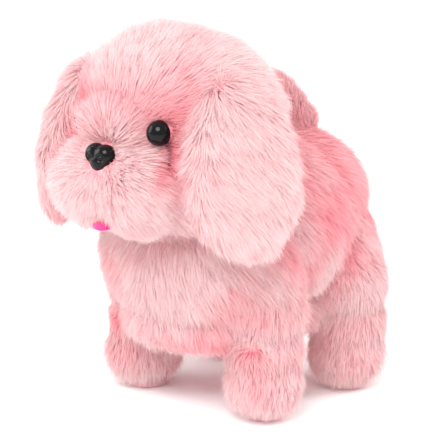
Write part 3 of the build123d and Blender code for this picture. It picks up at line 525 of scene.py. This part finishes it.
def strand_points(tree, given, points):
    """Store each strand's root, knee and tip, and the way its ribbon is spread."""
    here = add(tree, "GeometryNodeInputPosition").outputs["Position"]
    outwards = read(tree, "outwards", "FLOAT_VECTOR")
    middle_of_tuft = nearest_tuft(tree, given, here)
    coat, tuft_way = ways(tree, given, here, middle_of_tuft, outwards)
    chance = own_chance(tree, "FLOAT", given["Seed"])
    stray = own_chance(tree, "FLOAT_VECTOR", given["Seed"], (-1, -1, -1), (1, 1, 1))
    reach = number(tree, "MULTIPLY", given["Length"], read(tree, "pile"))
    share = number(tree, "MULTIPLY_ADD", chance, LENGTH_SPREAD, SHORTEST)
    reach = number(tree, "MULTIPLY", reach, share)
    own_way = vector(tree, "NORMALIZE", total(tree, coat, scaled(tree, stray, STRAY)))
    forward = scaled(tree, own_way, reach)
    tuft_tip = total(tree, middle_of_tuft, scaled(tree, tuft_way, reach))
    to_tuft = vector(tree, "SUBTRACT", tuft_tip, total(tree, here, forward))
    tip = total(tree, here, forward, scaled(tree, to_tuft, given["Tuft pull"]))
    lift = scaled(tree, outwards, number(tree, "MULTIPLY", reach, KNEE_LIFT))
    knee = total(tree, here, lift, scaled(tree, forward, KNEE_REACH))
    root = total(tree, here, scaled(tree, outwards, -ROOT_DEPTH))
    facing = total(tree, outwards, scaled(tree, stray, TWIST))
    spread = vector(tree, "NORMALIZE", vector(tree, "CROSS_PRODUCT", own_way, facing))
    # How far the strand stands from its tuft's middle; the material paints it deeper pink the farther it is, as
    # painted shade in the gaps.
    gap = add(
        tree, "ShaderNodeVectorMath", {"Vector": vector(tree, "SUBTRACT", here, middle_of_tuft)},
        operation="LENGTH",
    ).outputs["Value"]
    crevice_shade = number(tree, "DIVIDE", gap, given["Tuft spacing"])
    points = store(
        tree,
        points,
        {"root_at": root, "knee_at": knee, "tip_at": tip, "side_to": spread},
        "FLOAT_VECTOR",
    )
    return store(tree, points, {"shade": chance, "crevice_shade": crevice_shade})


# %% [markdown]
# The strand itself is a strip of one quad and one triangle, which ends in a point. It only knows
# how far along and across it each of its points is. Once it stands on every point, a second rule
# bends it: a curve from root by knee to tip, as wide as the strand is there.

# %% The strand, and how it is bent
def strip(tree):
    """A strip whose points know how far along and across it they are."""
    grid = add(
        tree,
        "GeometryNodeMeshGrid",
        {"Size X": 1.0, "Size Y": 1.0, "Vertices X": 2, "Vertices Y": 3},
    ).outputs["Mesh"]
    here = add(tree, "GeometryNodeInputPosition").outputs["Position"]
    split = add(tree, "ShaderNodeSeparateXYZ", {"Vector": here}).outputs
    along = number(tree, "ADD", split["Y"], 0.5)
    at_tip = number(tree, "GREATER_THAN", along, 0.9)
    across = number(tree, "MULTIPLY", split["X"], number(tree, "SUBTRACT", 1.0, at_tip))
    grid = store(tree, grid, {"along": along, "across": across})
    place = add(tree, "ShaderNodeCombineXYZ", {"X": read(tree, "across"), "Y": read(tree, "along")})
    pointed = add(
        tree, "GeometryNodeSetPosition", {"Geometry": grid, "Position": place.outputs["Vector"]}
    ).outputs["Geometry"]
    return add(tree, "GeometryNodeMergeByDistance", {"Geometry": pointed}).outputs["Geometry"]


def bend(tree, strands, width):
    """Move every strip's points to the curve from root by knee to tip."""
    along = read(tree, "along")
    back = number(tree, "SUBTRACT", 1.0, along)
    share = {
        "root_at": number(tree, "MULTIPLY", back, back),
        "knee_at": number(tree, "MULTIPLY", number(tree, "MULTIPLY", along, back), 2.0),
        "tip_at": number(tree, "MULTIPLY", along, along),
    }
    terms = [scaled(tree, read(tree, name, "FLOAT_VECTOR"), part) for name, part in share.items()]
    half = number(tree, "MULTIPLY", read(tree, "across"), width)
    edge = scaled(tree, read(tree, "side_to", "FLOAT_VECTOR"), half)
    node = add(
        tree,
        "GeometryNodeSetPosition",
        {"Geometry": strands, "Position": total(tree, *terms, edge)},
    )
    return node.outputs["Geometry"]


# %% [markdown]
# A flat ribbon would catch light like a blade. So its shading normals are bent towards the
# fabric's own normal, and the coat is lit as the round form below it is.

# %% The whole fur tree
ROUNDNESS = 2.5


def soften(tree, strands):
    """Turn the shading normals most of the way to the fabric's."""
    flat = add(tree, "GeometryNodeInputNormal").outputs["Normal"]
    round_form = scaled(tree, read(tree, "outwards", "FLOAT_VECTOR"), ROUNDNESS)
    node = add(
        tree,
        "GeometryNodeSetMeshNormal",
        {"Mesh": strands},
        mode="FREE",
        domain="POINT",
    )
    way = vector(tree, "NORMALIZE", total(tree, round_form, flat))
    tree.links.new(way, node.inputs["Custom Normal"])
    return node.outputs["Mesh"]


def fur_tree():
    tree = bpy.data.node_groups.new("brushed pile", "GeometryNodeTree")
    face = tree.interface
    face.new_socket("Fabric", in_out="INPUT", socket_type="NodeSocketGeometry")
    for name in ("Strands per area", "Length", "Width", "Lean", "Tuft spacing", "Tuft pull"):
        face.new_socket(name, in_out="INPUT", socket_type="NodeSocketFloat")
    face.new_socket("Seed", in_out="INPUT", socket_type="NodeSocketInt")
    face.new_socket("Finish", in_out="INPUT", socket_type="NodeSocketMaterial")
    face.new_socket("Pile", in_out="OUTPUT", socket_type="NodeSocketGeometry")
    given = add(tree, "NodeGroupInput").outputs
    points = strand_points(tree, given, scatter_strands(tree, given))
    placed = add(tree, "GeometryNodeInstanceOnPoints", {"Points": points, "Instance": strip(tree)})
    loose = add(tree, "GeometryNodeRealizeInstances", {"Geometry": placed.outputs["Instances"]})
    coat = soften(tree, bend(tree, loose.outputs["Geometry"], given["Width"]))
    for name in ("outwards", "root_at", "knee_at", "tip_at", "side_to", "across", "comb", "pile"):
        coat = add(
            tree, "GeometryNodeRemoveAttribute", {"Geometry": coat, "Name": name}
        ).outputs["Geometry"]
    done = add(tree, "GeometryNodeSetMaterial", {"Geometry": coat, "Material": given["Finish"]})
    add(tree, "NodeGroupOutput", {"Pile": done.outputs["Geometry"]})
    return tree


brushed = fur_tree()
socket_of = {
    item.name: item.identifier
    for item in brushed.interface.items_tree
    if item.item_type == "SOCKET" and item.in_out == "INPUT"
}
thinning = 1.0
print("tree", len(brushed.nodes), "nodes")

# %% Grow the pile on a pelt
def grow(
    fabric, name, strands, length, width=0.32, lean=1.8, tuft=4.5, pull=0.24, layers=1, seed=1
):
    """Pile on a pelt, as one mesh for each layer of strands. Lengths and widths are in mm."""
    area = sum(face.area for face in fabric.data.polygons)
    made = []
    for layer in range(layers):
        piece = to_object(f"{name}_{layer + 1}" if layers > 1 else name, fabric.data.copy())
        modifier = piece.modifiers.new("pile", "NODES")
        modifier.node_group = brushed
        values = {
            "Strands per area": strands * thinning / layers / area,
            "Length": length * MM,
            "Width": width * MM,
            "Lean": lean,
            "Tuft spacing": tuft * MM,
            "Tuft pull": pull,
            "Seed": seed * 10 + layer,
            "Finish": pink_pile,
        }
        for key, value in values.items():
            modifier[socket_of[key]] = value
        freeze(piece)
        made.append(piece)
        print(piece.name, len(piece.data.polygons) // 2, "strands")
    return made


# %% [markdown]
# Every pelt carries the three maps that the pile reads: which way it is combed, how long it is and
# how deep its pink is. That depth is the dye's own patches together with painted shade in creases
# and on sides away from the light, and painted highlights. They are worked out for all the pelt's
# points at once with numpy.

# %% Maps on a pelt
def points_of(piece):
    count = len(piece.data.vertices)
    place = np.empty(count * 3)
    facing = np.empty(count * 3)
    piece.data.vertices.foreach_get("co", place)
    piece.data.vertices.foreach_get("normal", facing)
    return place.reshape(-1, 3) / MM, facing.reshape(-1, 3)


def near(place, spot, reach):
    """1 at the spot, falling smoothly to nothing at about twice the reach."""
    away = np.linalg.norm(place - np.array(spot), axis=1)
    return np.exp(-(away / reach) ** 2)


def patches(place, size, seed):
    """Soft random patches between -1 and 1, made of a few waves."""
    chance = np.random.default_rng(seed)
    total = np.zeros(len(place))
    for _ in range(10):
        way = chance.normal(size=3)
        way *= 2 * math.pi / (size * np.linalg.norm(way)) * chance.uniform(0.6, 1.8)
        total += np.sin(place @ way + chance.uniform(0, 6.28))
    return total / 4


def set_maps(piece, comb, pile, dye_and_painted_shading):
    """Lay the comb along the surface, and store the three maps."""
    place, facing = points_of(piece)
    flow = comb - facing * np.sum(comb * facing, axis=1, keepdims=True)
    size = np.linalg.norm(flow, axis=1, keepdims=True)
    flow = flow / np.maximum(size, 0.25)
    mesh = piece.data
    mesh.attributes.new("comb", "FLOAT_VECTOR", "POINT").data.foreach_set("vector", flow.ravel())
    mesh.attributes.new("pile", "FLOAT", "POINT").data.foreach_set("value", np.clip(pile, 0, 2))
    mesh.attributes.new("dye_and_painted_shading", "FLOAT", "POINT").data.foreach_set("value", np.clip(dye_and_painted_shading, 0, 2))


def away_from(place, spot):
    out = place - np.array(spot)
    return out / np.maximum(np.linalg.norm(out, axis=1, keepdims=True), 1e-6)


def step(values, low, high):
    """Smoothly from 0 at low to 1 at high."""
    t = np.clip((values - low) / (high - low), 0, 1)
    return t * t * (3 - 2 * t)


mm = {
    "nose": np.array(nose_tip) / MM,
    "eyes": [np.array(eye) / MM for eye in eyes],
}

# %% [markdown]
# ## The body
# The trunk is a barrel chest that hangs over the forelegs, a rib cage and a round rump. The bib of
# the chest ends in a fold above the belly. The pile falls back and down.

# %% Body pelt
body = pelt(
    "trunk_plush",
    [
        ((0, -25, 68), (41, 26, 31), UNTURNED),
        ((0, -10, 50), (37, 32, 23), UNTURNED),
        ((0, 14, 76), (44, 44, 38), UNTURNED),
        ((0, 42, 61), (39, 32, 40), UNTURNED),
        ((27, -16, 62), (19, 20, 24), UNTURNED),
        ((-27, -16, 62), (19, 20, 24), UNTURNED),
        ((24, 42, 54), (20, 22, 24), UNTURNED),
        ((-24, 42, 54), (20, 22, 24), UNTURNED),
        ((0, -26, 92), (30, 24, 22), UNTURNED),
        ((0, 14, 38), (33, 44, 12), UNTURNED),
        ((0, -28, 42), (30, 17, 14), UNTURNED),
        ((0, 40, 84), (35, 31, 27), UNTURNED),
    ],
)
plate_low, plate_high = (np.array(corner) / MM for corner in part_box("battery_tray"))
plate_thickness = 2
place, facing = points_of(body)
over_plate = np.all((place > plate_low - 1.5) & (place < plate_high + 1.5), axis=1)
place[over_plate, 2] = np.maximum(place[over_plate, 2], plate_low[2] + plate_thickness + 1)
body.data.vertices.foreach_set("co", (place * MM).ravel())
place, facing = points_of(body)
down_back = np.array([0.0, 0.55, -1.0]) + 0.25 * np.sign(place) * np.array([1, 0, 0])
length = 1.0 - 0.5 * step(-facing[:, 2], 0.5, 0.9) - 0.15 * step(60 - place[:, 2], 0, 30)
length[over_plate] = 0
# A band of deeper pink along the bib's fold: painted shade in the crease.
fold_shade = np.exp(-((place[:, 2] - 40 + 0.05 * place[:, 0]) / 3.0) ** 2) * step(-place[:, 1], 10, 35)
# A paler band down the left flank: a painted highlight.
ridge_highlight = np.exp(-(((place[:, 1] - 13) - (place[:, 2] - 60) * 0.35) / 6.0) ** 2)
ridge_highlight *= step(place[:, 0], 20, 35) * step(85 - place[:, 2], 0, 15)
deep = 0.42 + 0.26 * patches(place, 34, 3) - 0.4 * step(-place[:, 1], 8, 30)
# The top of the back is made deeper pink towards the rear: painted shade where the back turns from the light.
deep += 0.55 * fold_shade - 0.5 * ridge_highlight + 0.2 * step(place[:, 2], 60, 95) * step(place[:, 1], -40, 0)
set_maps(body, down_back, length, deep)
body_pile = grow(body, "trunk_pile", 196000, 10, layers=4, lean=2.2, tuft=6, seed=1)

# %% [markdown]
# ## The head
# The skull is a big round ball, with full cheeks. The pile sweeps from the bridge of the nose up
# over the brow, and it is clipped short round the eyes, where it is a deeper pink. A crease below
# each eye and the seam down to the muzzle are painted dark as painted shade.

# %% Head pelt
def cheek_seam(place, eye):
    """1 on the stitched line from an eye down between muzzle and cheek, 0 away from it."""
    side = np.sign(eye[0])
    below = eye[2] - place[:, 2]
    line = np.exp(-((place[:, 0] - eye[0] - 0.1 * side * below) / 1.5) ** 2)
    return line * step(below, 2, 6) * step(24 - below, 0, 12) * step(-place[:, 1], 40, 48)


head = pelt(
    "head_plush",
    [
        ((0, -31, 127), (44, 37, 38), UNTURNED),
        ((22, -46, 112), (22, 20, 22), UNTURNED),
        ((-22, -46, 112), (22, 20, 22), UNTURNED),
        ((0, -36, 137), (38, 32, 29), UNTURNED),
        ((0, -59, 129), (14, 15, 14), UNTURNED),
        ((-6, -66, 131), (7, 9, 9), UNTURNED),
        ((38, -36, 124), (10, 18, 24), UNTURNED),
        ((-38, -36, 124), (10, 18, 24), UNTURNED),
    ],
)
place, facing = points_of(head)
bridge = (0, -74, 124)
sweep = away_from(place, bridge)
length = 1.0 + 0 * place[:, 0]
deep = 0.1 + 0.2 * patches(place, 30, 5)
for eye in mm["eyes"]:
    side = np.sign(eye[0])
    clipped = near(place, eye, 7.5)
    length -= 0.7 * clipped
    length[np.linalg.norm(place - eye, axis=1) < 5.2] = 0
    deep += 0.55 * near(place, eye, 13)
    deep += 0.35 * near(place, eye + np.array([3 * side, 4, 9]), 9)
    seam = cheek_seam(place, eye)
    crease = near(place, eye + np.array([3.0 * side, 4, -15]), 9)
    # The crease below the eye and the seam to the muzzle are painted deep, past 1, as painted shade.
    deep += 0.7 * crease + 1.3 * seam
    length -= 0.35 * crease + 0.4 * seam
    sweep += 0.8 * clipped[:, None] * away_from(place, eye)
sweep[:, 2] -= 1.2 * step(np.abs(place[:, 0]), 25, 42)
forelock = near(place, (-9, -74, 132), 5)
sweep += forelock[:, None] * np.array([-1.5, -1.0, 0.3])
length += 0.5 * forelock
set_maps(head, sweep, np.maximum(length, 0), deep)
head_pile = grow(head, "head_pile", 170000, 9.5, layers=3, lean=2.0, tuft=5.5, seed=2)

# %% [markdown]
# ## The muzzle
# The muzzle is a soft pad across the face, wider than the skull below the eyes. Its pile bursts
# out from round the nose, and it is the palest of all.

# %% Muzzle pelt
muzzle = pelt(
    "muzzle_plush",
    [
        ((10, -66, 107), (17, 16, 17), UNTURNED),
        ((-12, -65, 107), (19, 17, 17), UNTURNED),
        ((0, -68, 113), (15, 14, 15), UNTURNED),
        ((0, -62, 101), (25, 17, 13), UNTURNED),
    ],
)
place, facing = points_of(muzzle)
burst = away_from(place, mm["nose"] + np.array([0, 2, 0]))
gap = np.linalg.norm(place - mm["nose"] - np.array([0, 4, 0]), axis=1)
length = 0.45 + 0.6 * step(gap, 8, 24)
length[gap < 6.0] = 0
tongue_root = np.array(middle("tongue")) / MM + np.array([0, -1, 1.5])
length -= 0.9 * near(place, tongue_root, 6.5)
deep = 0.02 + 0.1 * patches(place, 22, 8)
for eye in mm["eyes"]:
    seam = cheek_seam(place, eye)
    # The seam and the place below each eye are painted deep pink, as painted shade in the crease.
    deep += 1.2 * seam + 0.5 * near(place, eye - np.array([0, 0, 16]), 7)
    length -= 0.4 * seam
set_maps(muzzle, burst, np.maximum(length, 0), deep)
muzzle_pile = grow(muzzle, "muzzle_pile", 54000, 8.5, layers=1, lean=1.8, tuft=5, seed=3)


# %% [markdown]
# ## The ears
# An ear is two layers of pile fabric sewn round the edge and lightly padded, hung from the side of
# the crown. Its face turns partly forward, and its pile bursts from a whorl near the front edge.

# %% Ear pelts
ear_middle = middle("ear_left") / MM
for side, name in ((1, "left"), (-1, "right")):
    turn = (0, -7 * side, -22 * side)
    ear = pelt(
        f"ear_plush_{name}",
        [
            ((side * (ear_middle.x + 2), ear_middle.y, 111), (5.5, 22, 27), turn),
            ((side * (ear_middle.x - 2), ear_middle.y + 2, 122), (6, 20, 25), turn),
            ((side * (ear_middle.x - 9), ear_middle.y + 5, 138), (6, 14, 13), turn),
        ],
    )
    place, facing = points_of(ear)
    whorl = (side * (ear_middle.x - 4), ear_middle.y - 17, 105)
    pull = np.exp(-(np.linalg.norm(place - np.array(whorl), axis=1) / 24) ** 2)[:, None]
    fall = np.array([0.0, 0.35, -1.0]) + 0.75 * pull * away_from(place, whorl)
    length = 1.0 + 0 * place[:, 0]
    deep = 0.02 + 0.1 * patches(place, 26, 11 + side)
    # The ear's face that turns towards the head is painted deeper pink: painted shade on that side.
    deep += 0.35 * step(-side * facing[:, 0], 0.2, 0.6)
    set_maps(ear, fall, length, deep)
    pile = grow(ear, f"ear_pile_{name}", 46000, 10, layers=1, lean=1.8, tuft=5.5, seed=5 + side)
    for piece in (ear, *pile):
        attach(piece, "head")
    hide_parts(f"ear_{name}")

# %% The head's pieces ride with the nod
for piece in (head, *head_pile):
    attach(piece, "head")
for piece in (muzzle, *muzzle_pile):
    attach(piece, "head")
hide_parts("head_pelt")
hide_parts("muzzle_pelt")
for piece in (body, *body_pile):
    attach(piece, "chassis")
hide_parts("body_pelt")

# %% [markdown]
# ## The legs
# A leg is a sleeve of the same fabric round a plastic column. It is sewn to the trunk above the
# hip.

# %% Leg pelts
for name, hip in hips.items():
    side = 1 if hip.x > 0 else -1
    x = side * leg_x / MM
    y = hip.y / MM
    leg = pelt(
        f"leg_plush_{name}",
        [
            ((x, y, 48), (14, 14.5, 16), UNTURNED),
            ((x, y, 31), (13.6, 14.2, 18), UNTURNED),
            ((x + 0.5 * side, y - 1, 17), (13.4, 14.4, 14.6), UNTURNED),
        ],
    )
    place, facing = points_of(leg)
    out = (place - np.array([x, y, 0])) * np.array([1, 1, 0]) / 16
    fall = 0.25 * out + np.array([0, 0, -1.0])
    length = 0.95 - 0.35 * step(-facing[:, 2], 0.3, 0.8)
    length[facing[:, 2] < -0.93] = 0
    deep = 0.14 + 0.2 * patches(place, 24, 21 + side + int(y))
    # Paler towards the foot: painted light against the shade low on the leg.
    deep -= 0.15 * step(22 - place[:, 2], 0, 15)
    if hip.y < 0:
        star = np.array([x + 4 * side, y - 13, 34])
        dent = near(place, star, 5.5)
        # The star where the pile parts is painted deeper pink, as painted shade in the parting.
        deep += 0.6 * dent
        length -= 0.4 * dent
        fall += 1.5 * dent[:, None] * away_from(place, star)
    set_maps(leg, fall, length, deep)
    seed = 30 + int(y) + side
    pile = grow(leg, f"leg_pile_{name}", 20000, 9, layers=1, lean=1.7, tuft=4, seed=seed)
    for piece in (leg, *pile):
        heights = np.empty(len(piece.data.vertices) * 3)
        piece.data.vertices.foreach_get("co", heights)
        heights = heights.reshape(-1, 3)
        heights[:, 2] = np.maximum(heights[:, 2], 0.4 * MM)
        piece.data.vertices.foreach_set("co", heights.ravel())
        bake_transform(piece)
    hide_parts(f"leg_pelt_{name}")

# %% [markdown]
# ## The tail
# The tail is a stuffed curl that leans forward over the back and tapers to its tip.

# %% Tail pelt
post_low, post_high = (Vector(corner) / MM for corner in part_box("tail_core"))
tail_root = Vector((0, (post_low.y + post_high.y) / 2, post_high.z))
tail = pelt(
    "tail_plush",
    [
        ((0, tail_root.y, tail_root.z - 13), (7.5, 7.5, 8), UNTURNED),
        ((0, tail_root.y - 0.5, tail_root.z - 6), (8, 8, 8), UNTURNED),
        ((0, tail_root.y - 6, tail_root.z + 2), (7, 7, 7), UNTURNED),
        ((0, tail_root.y - 13, tail_root.z + 9), (6.5, 6.5, 6.5), UNTURNED),
        ((0, tail_root.y - 18, tail_root.z + 13), (5.5, 5.5, 5.5), UNTURNED),
    ],
    smooth=3,
)
place, facing = points_of(tail)
curl = np.array([0.0, -0.7, 1.0]) + 0 * place
deep = 0.4 + 0.2 * patches(place, 20, 31)
set_maps(tail, curl, 0.9 + 0 * deep, deep)
tail_pile = grow(tail, "tail_pile", 13000, 6.5, layers=1, lean=1.6, tuft=3.5, seed=40)
for piece in (tail, *tail_pile):
    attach(piece, "tail")
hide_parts("tail_pelt")

# %% [markdown]
# ## The nose
# The nose is one polished moulding: two upper lobes and a lower one, run together, with a curled
# nostril pressed into each side.

# %% Nose
nose_middle = (nose_low + nose_high) / 2 / MM
front = nose_low.y / MM
nose = pelt(
    "nose_moulding",
    [
        ((2.6, front + 4.8, nose_middle.z + 1.2), (4.8, 4.6, 4.6), UNTURNED),
        ((-2.6, front + 4.8, nose_middle.z + 1.2), (4.8, 4.6, 4.6), UNTURNED),
        ((0, front + 4.8, nose_middle.z - 1.4), (5.0, 4.6, 4.8), UNTURNED),
    ],
    voxel=0.3,
    smooth=14,
)
place, facing = points_of(nose)
for side in (1, -1):
    nostril = np.array([side * 3.2, front + 1.0, nose_middle.z + 0.6])
    gap = np.linalg.norm((place - nostril) * np.array([1, 0.1, 1]), axis=1)
    place[:, 1] += 0.9 * np.exp(-((gap - 1.2) / 0.6) ** 2)
nose.data.vertices.foreach_set("co", (place * MM).ravel())
nose.data.materials.clear()
nose.data.materials.append(slots["black_gloss"])
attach(nose, "head")
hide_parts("nose")

# %% [markdown]
# The tongue is a scrap of bright felt that is sewn in below the pad and droops at its tip.

# %% Tongue
tongue_middle = np.array(middle("tongue")) / MM
tongue = pelt(
    "tongue_felt",
    [
        (tongue_middle + np.array([0, 1.0, 0.6]), (5.6, 6.0, 1.3), UNTURNED),
        (tongue_middle + np.array([0, -3.5, -0.2]), (5.4, 4.5, 1.7), (18, 0, 0)),
    ],
    voxel=0.4,
    smooth=4,
)
tongue.data.materials.clear()
tongue.data.materials.append(slots["felt"])
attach(tongue, "head")
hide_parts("tongue")

# %% [markdown]
# ## Studio
# A pale disc of paper stands in for the table, and big soft lights wrap round the pile, so that
# the polished eyes show one clean highlight.

# %% Floor
def seamless_paper():
    """Matt white paper. Its tooth is too fine to see, so only its tone drifts a little."""
    material, tree, output = new_material("seamless paper")
    place = add(tree, "ShaderNodeTexCoord").outputs["Object"]
    drift = add(tree, "ShaderNodeTexNoise", {"Vector": place, "Scale": 2.0}).outputs["Fac"]
    tone = ramp(tree, drift, [(0.3, "#fbfaf9"), (0.7, "#ffffff")])
    shader = add(tree, "ShaderNodeBsdfPrincipled", {"Base Color": tone, "Roughness": 1.0})
    tree.links.new(shader.outputs["BSDF"], output.inputs["Surface"])
    return material


def paper_floor():
    shape = bmesh.new()
    bmesh.ops.create_circle(shape, cap_ends=True, segments=96, radius=12)
    mesh = bpy.data.meshes.new("paper_floor")
    shape.to_mesh(mesh)
    shape.free()
    floor = to_object("paper_floor", mesh)
    floor.data.materials.append(seamless_paper())


paper_floor()


def soft_light(name, place, aim, size, power, tint="#ffffff"):
    data = bpy.data.lights.new(name, "AREA")
    data.shape = "DISK"
    data.size = size
    data.energy = power
    data.color = linear(tint)[:3]
    lamp = bpy.data.objects.new(name, data)
    bpy.context.scene.collection.objects.link(lamp)
    lamp.location = place
    lamp.rotation_euler = (Vector(aim) - Vector(place)).to_track_quat("-Z", "Y").to_euler()


centre = (0, 0, 0.08)
soft_light("key", (0.35, -0.75, 0.95), centre, 0.7, 11)
soft_light("fill", (-0.8, -0.5, 0.45), centre, 0.8, 5)
soft_light("rim", (0.7, 0.7, 0.7), centre, 0.7, 7)
world = bpy.data.worlds.new("studio")
bpy.context.scene.world = world
world.use_nodes = True
world.node_tree.nodes["Background"].inputs["Color"].default_value = linear("#ffffff")
world.node_tree.nodes["Background"].inputs["Strength"].default_value = 0.95
bpy.context.scene.view_settings.view_transform = "Standard"

# %% Camera
azimuth, elevation = math.radians(41.4), math.radians(13.7)
look = Vector((0, -7.3, 82.2)) * MM
toward = Vector(
    (
        math.sin(azimuth) * math.cos(elevation),
        -math.cos(azimuth) * math.cos(elevation),
        math.sin(elevation),
    )
)
distance = 0.9
seen_width = 190.08 * MM
sensor_width = 36
lens_data = bpy.data.cameras.new("camera")
lens_data.sensor_width = sensor_width
lens_data.lens = sensor_width * distance / seen_width
camera = bpy.data.objects.new("camera", lens_data)
bpy.context.scene.collection.objects.link(camera)
camera.location = look + toward * distance
camera.rotation_euler = toward.to_track_quat("Z", "Y").to_euler()
bpy.context.scene.camera = camera
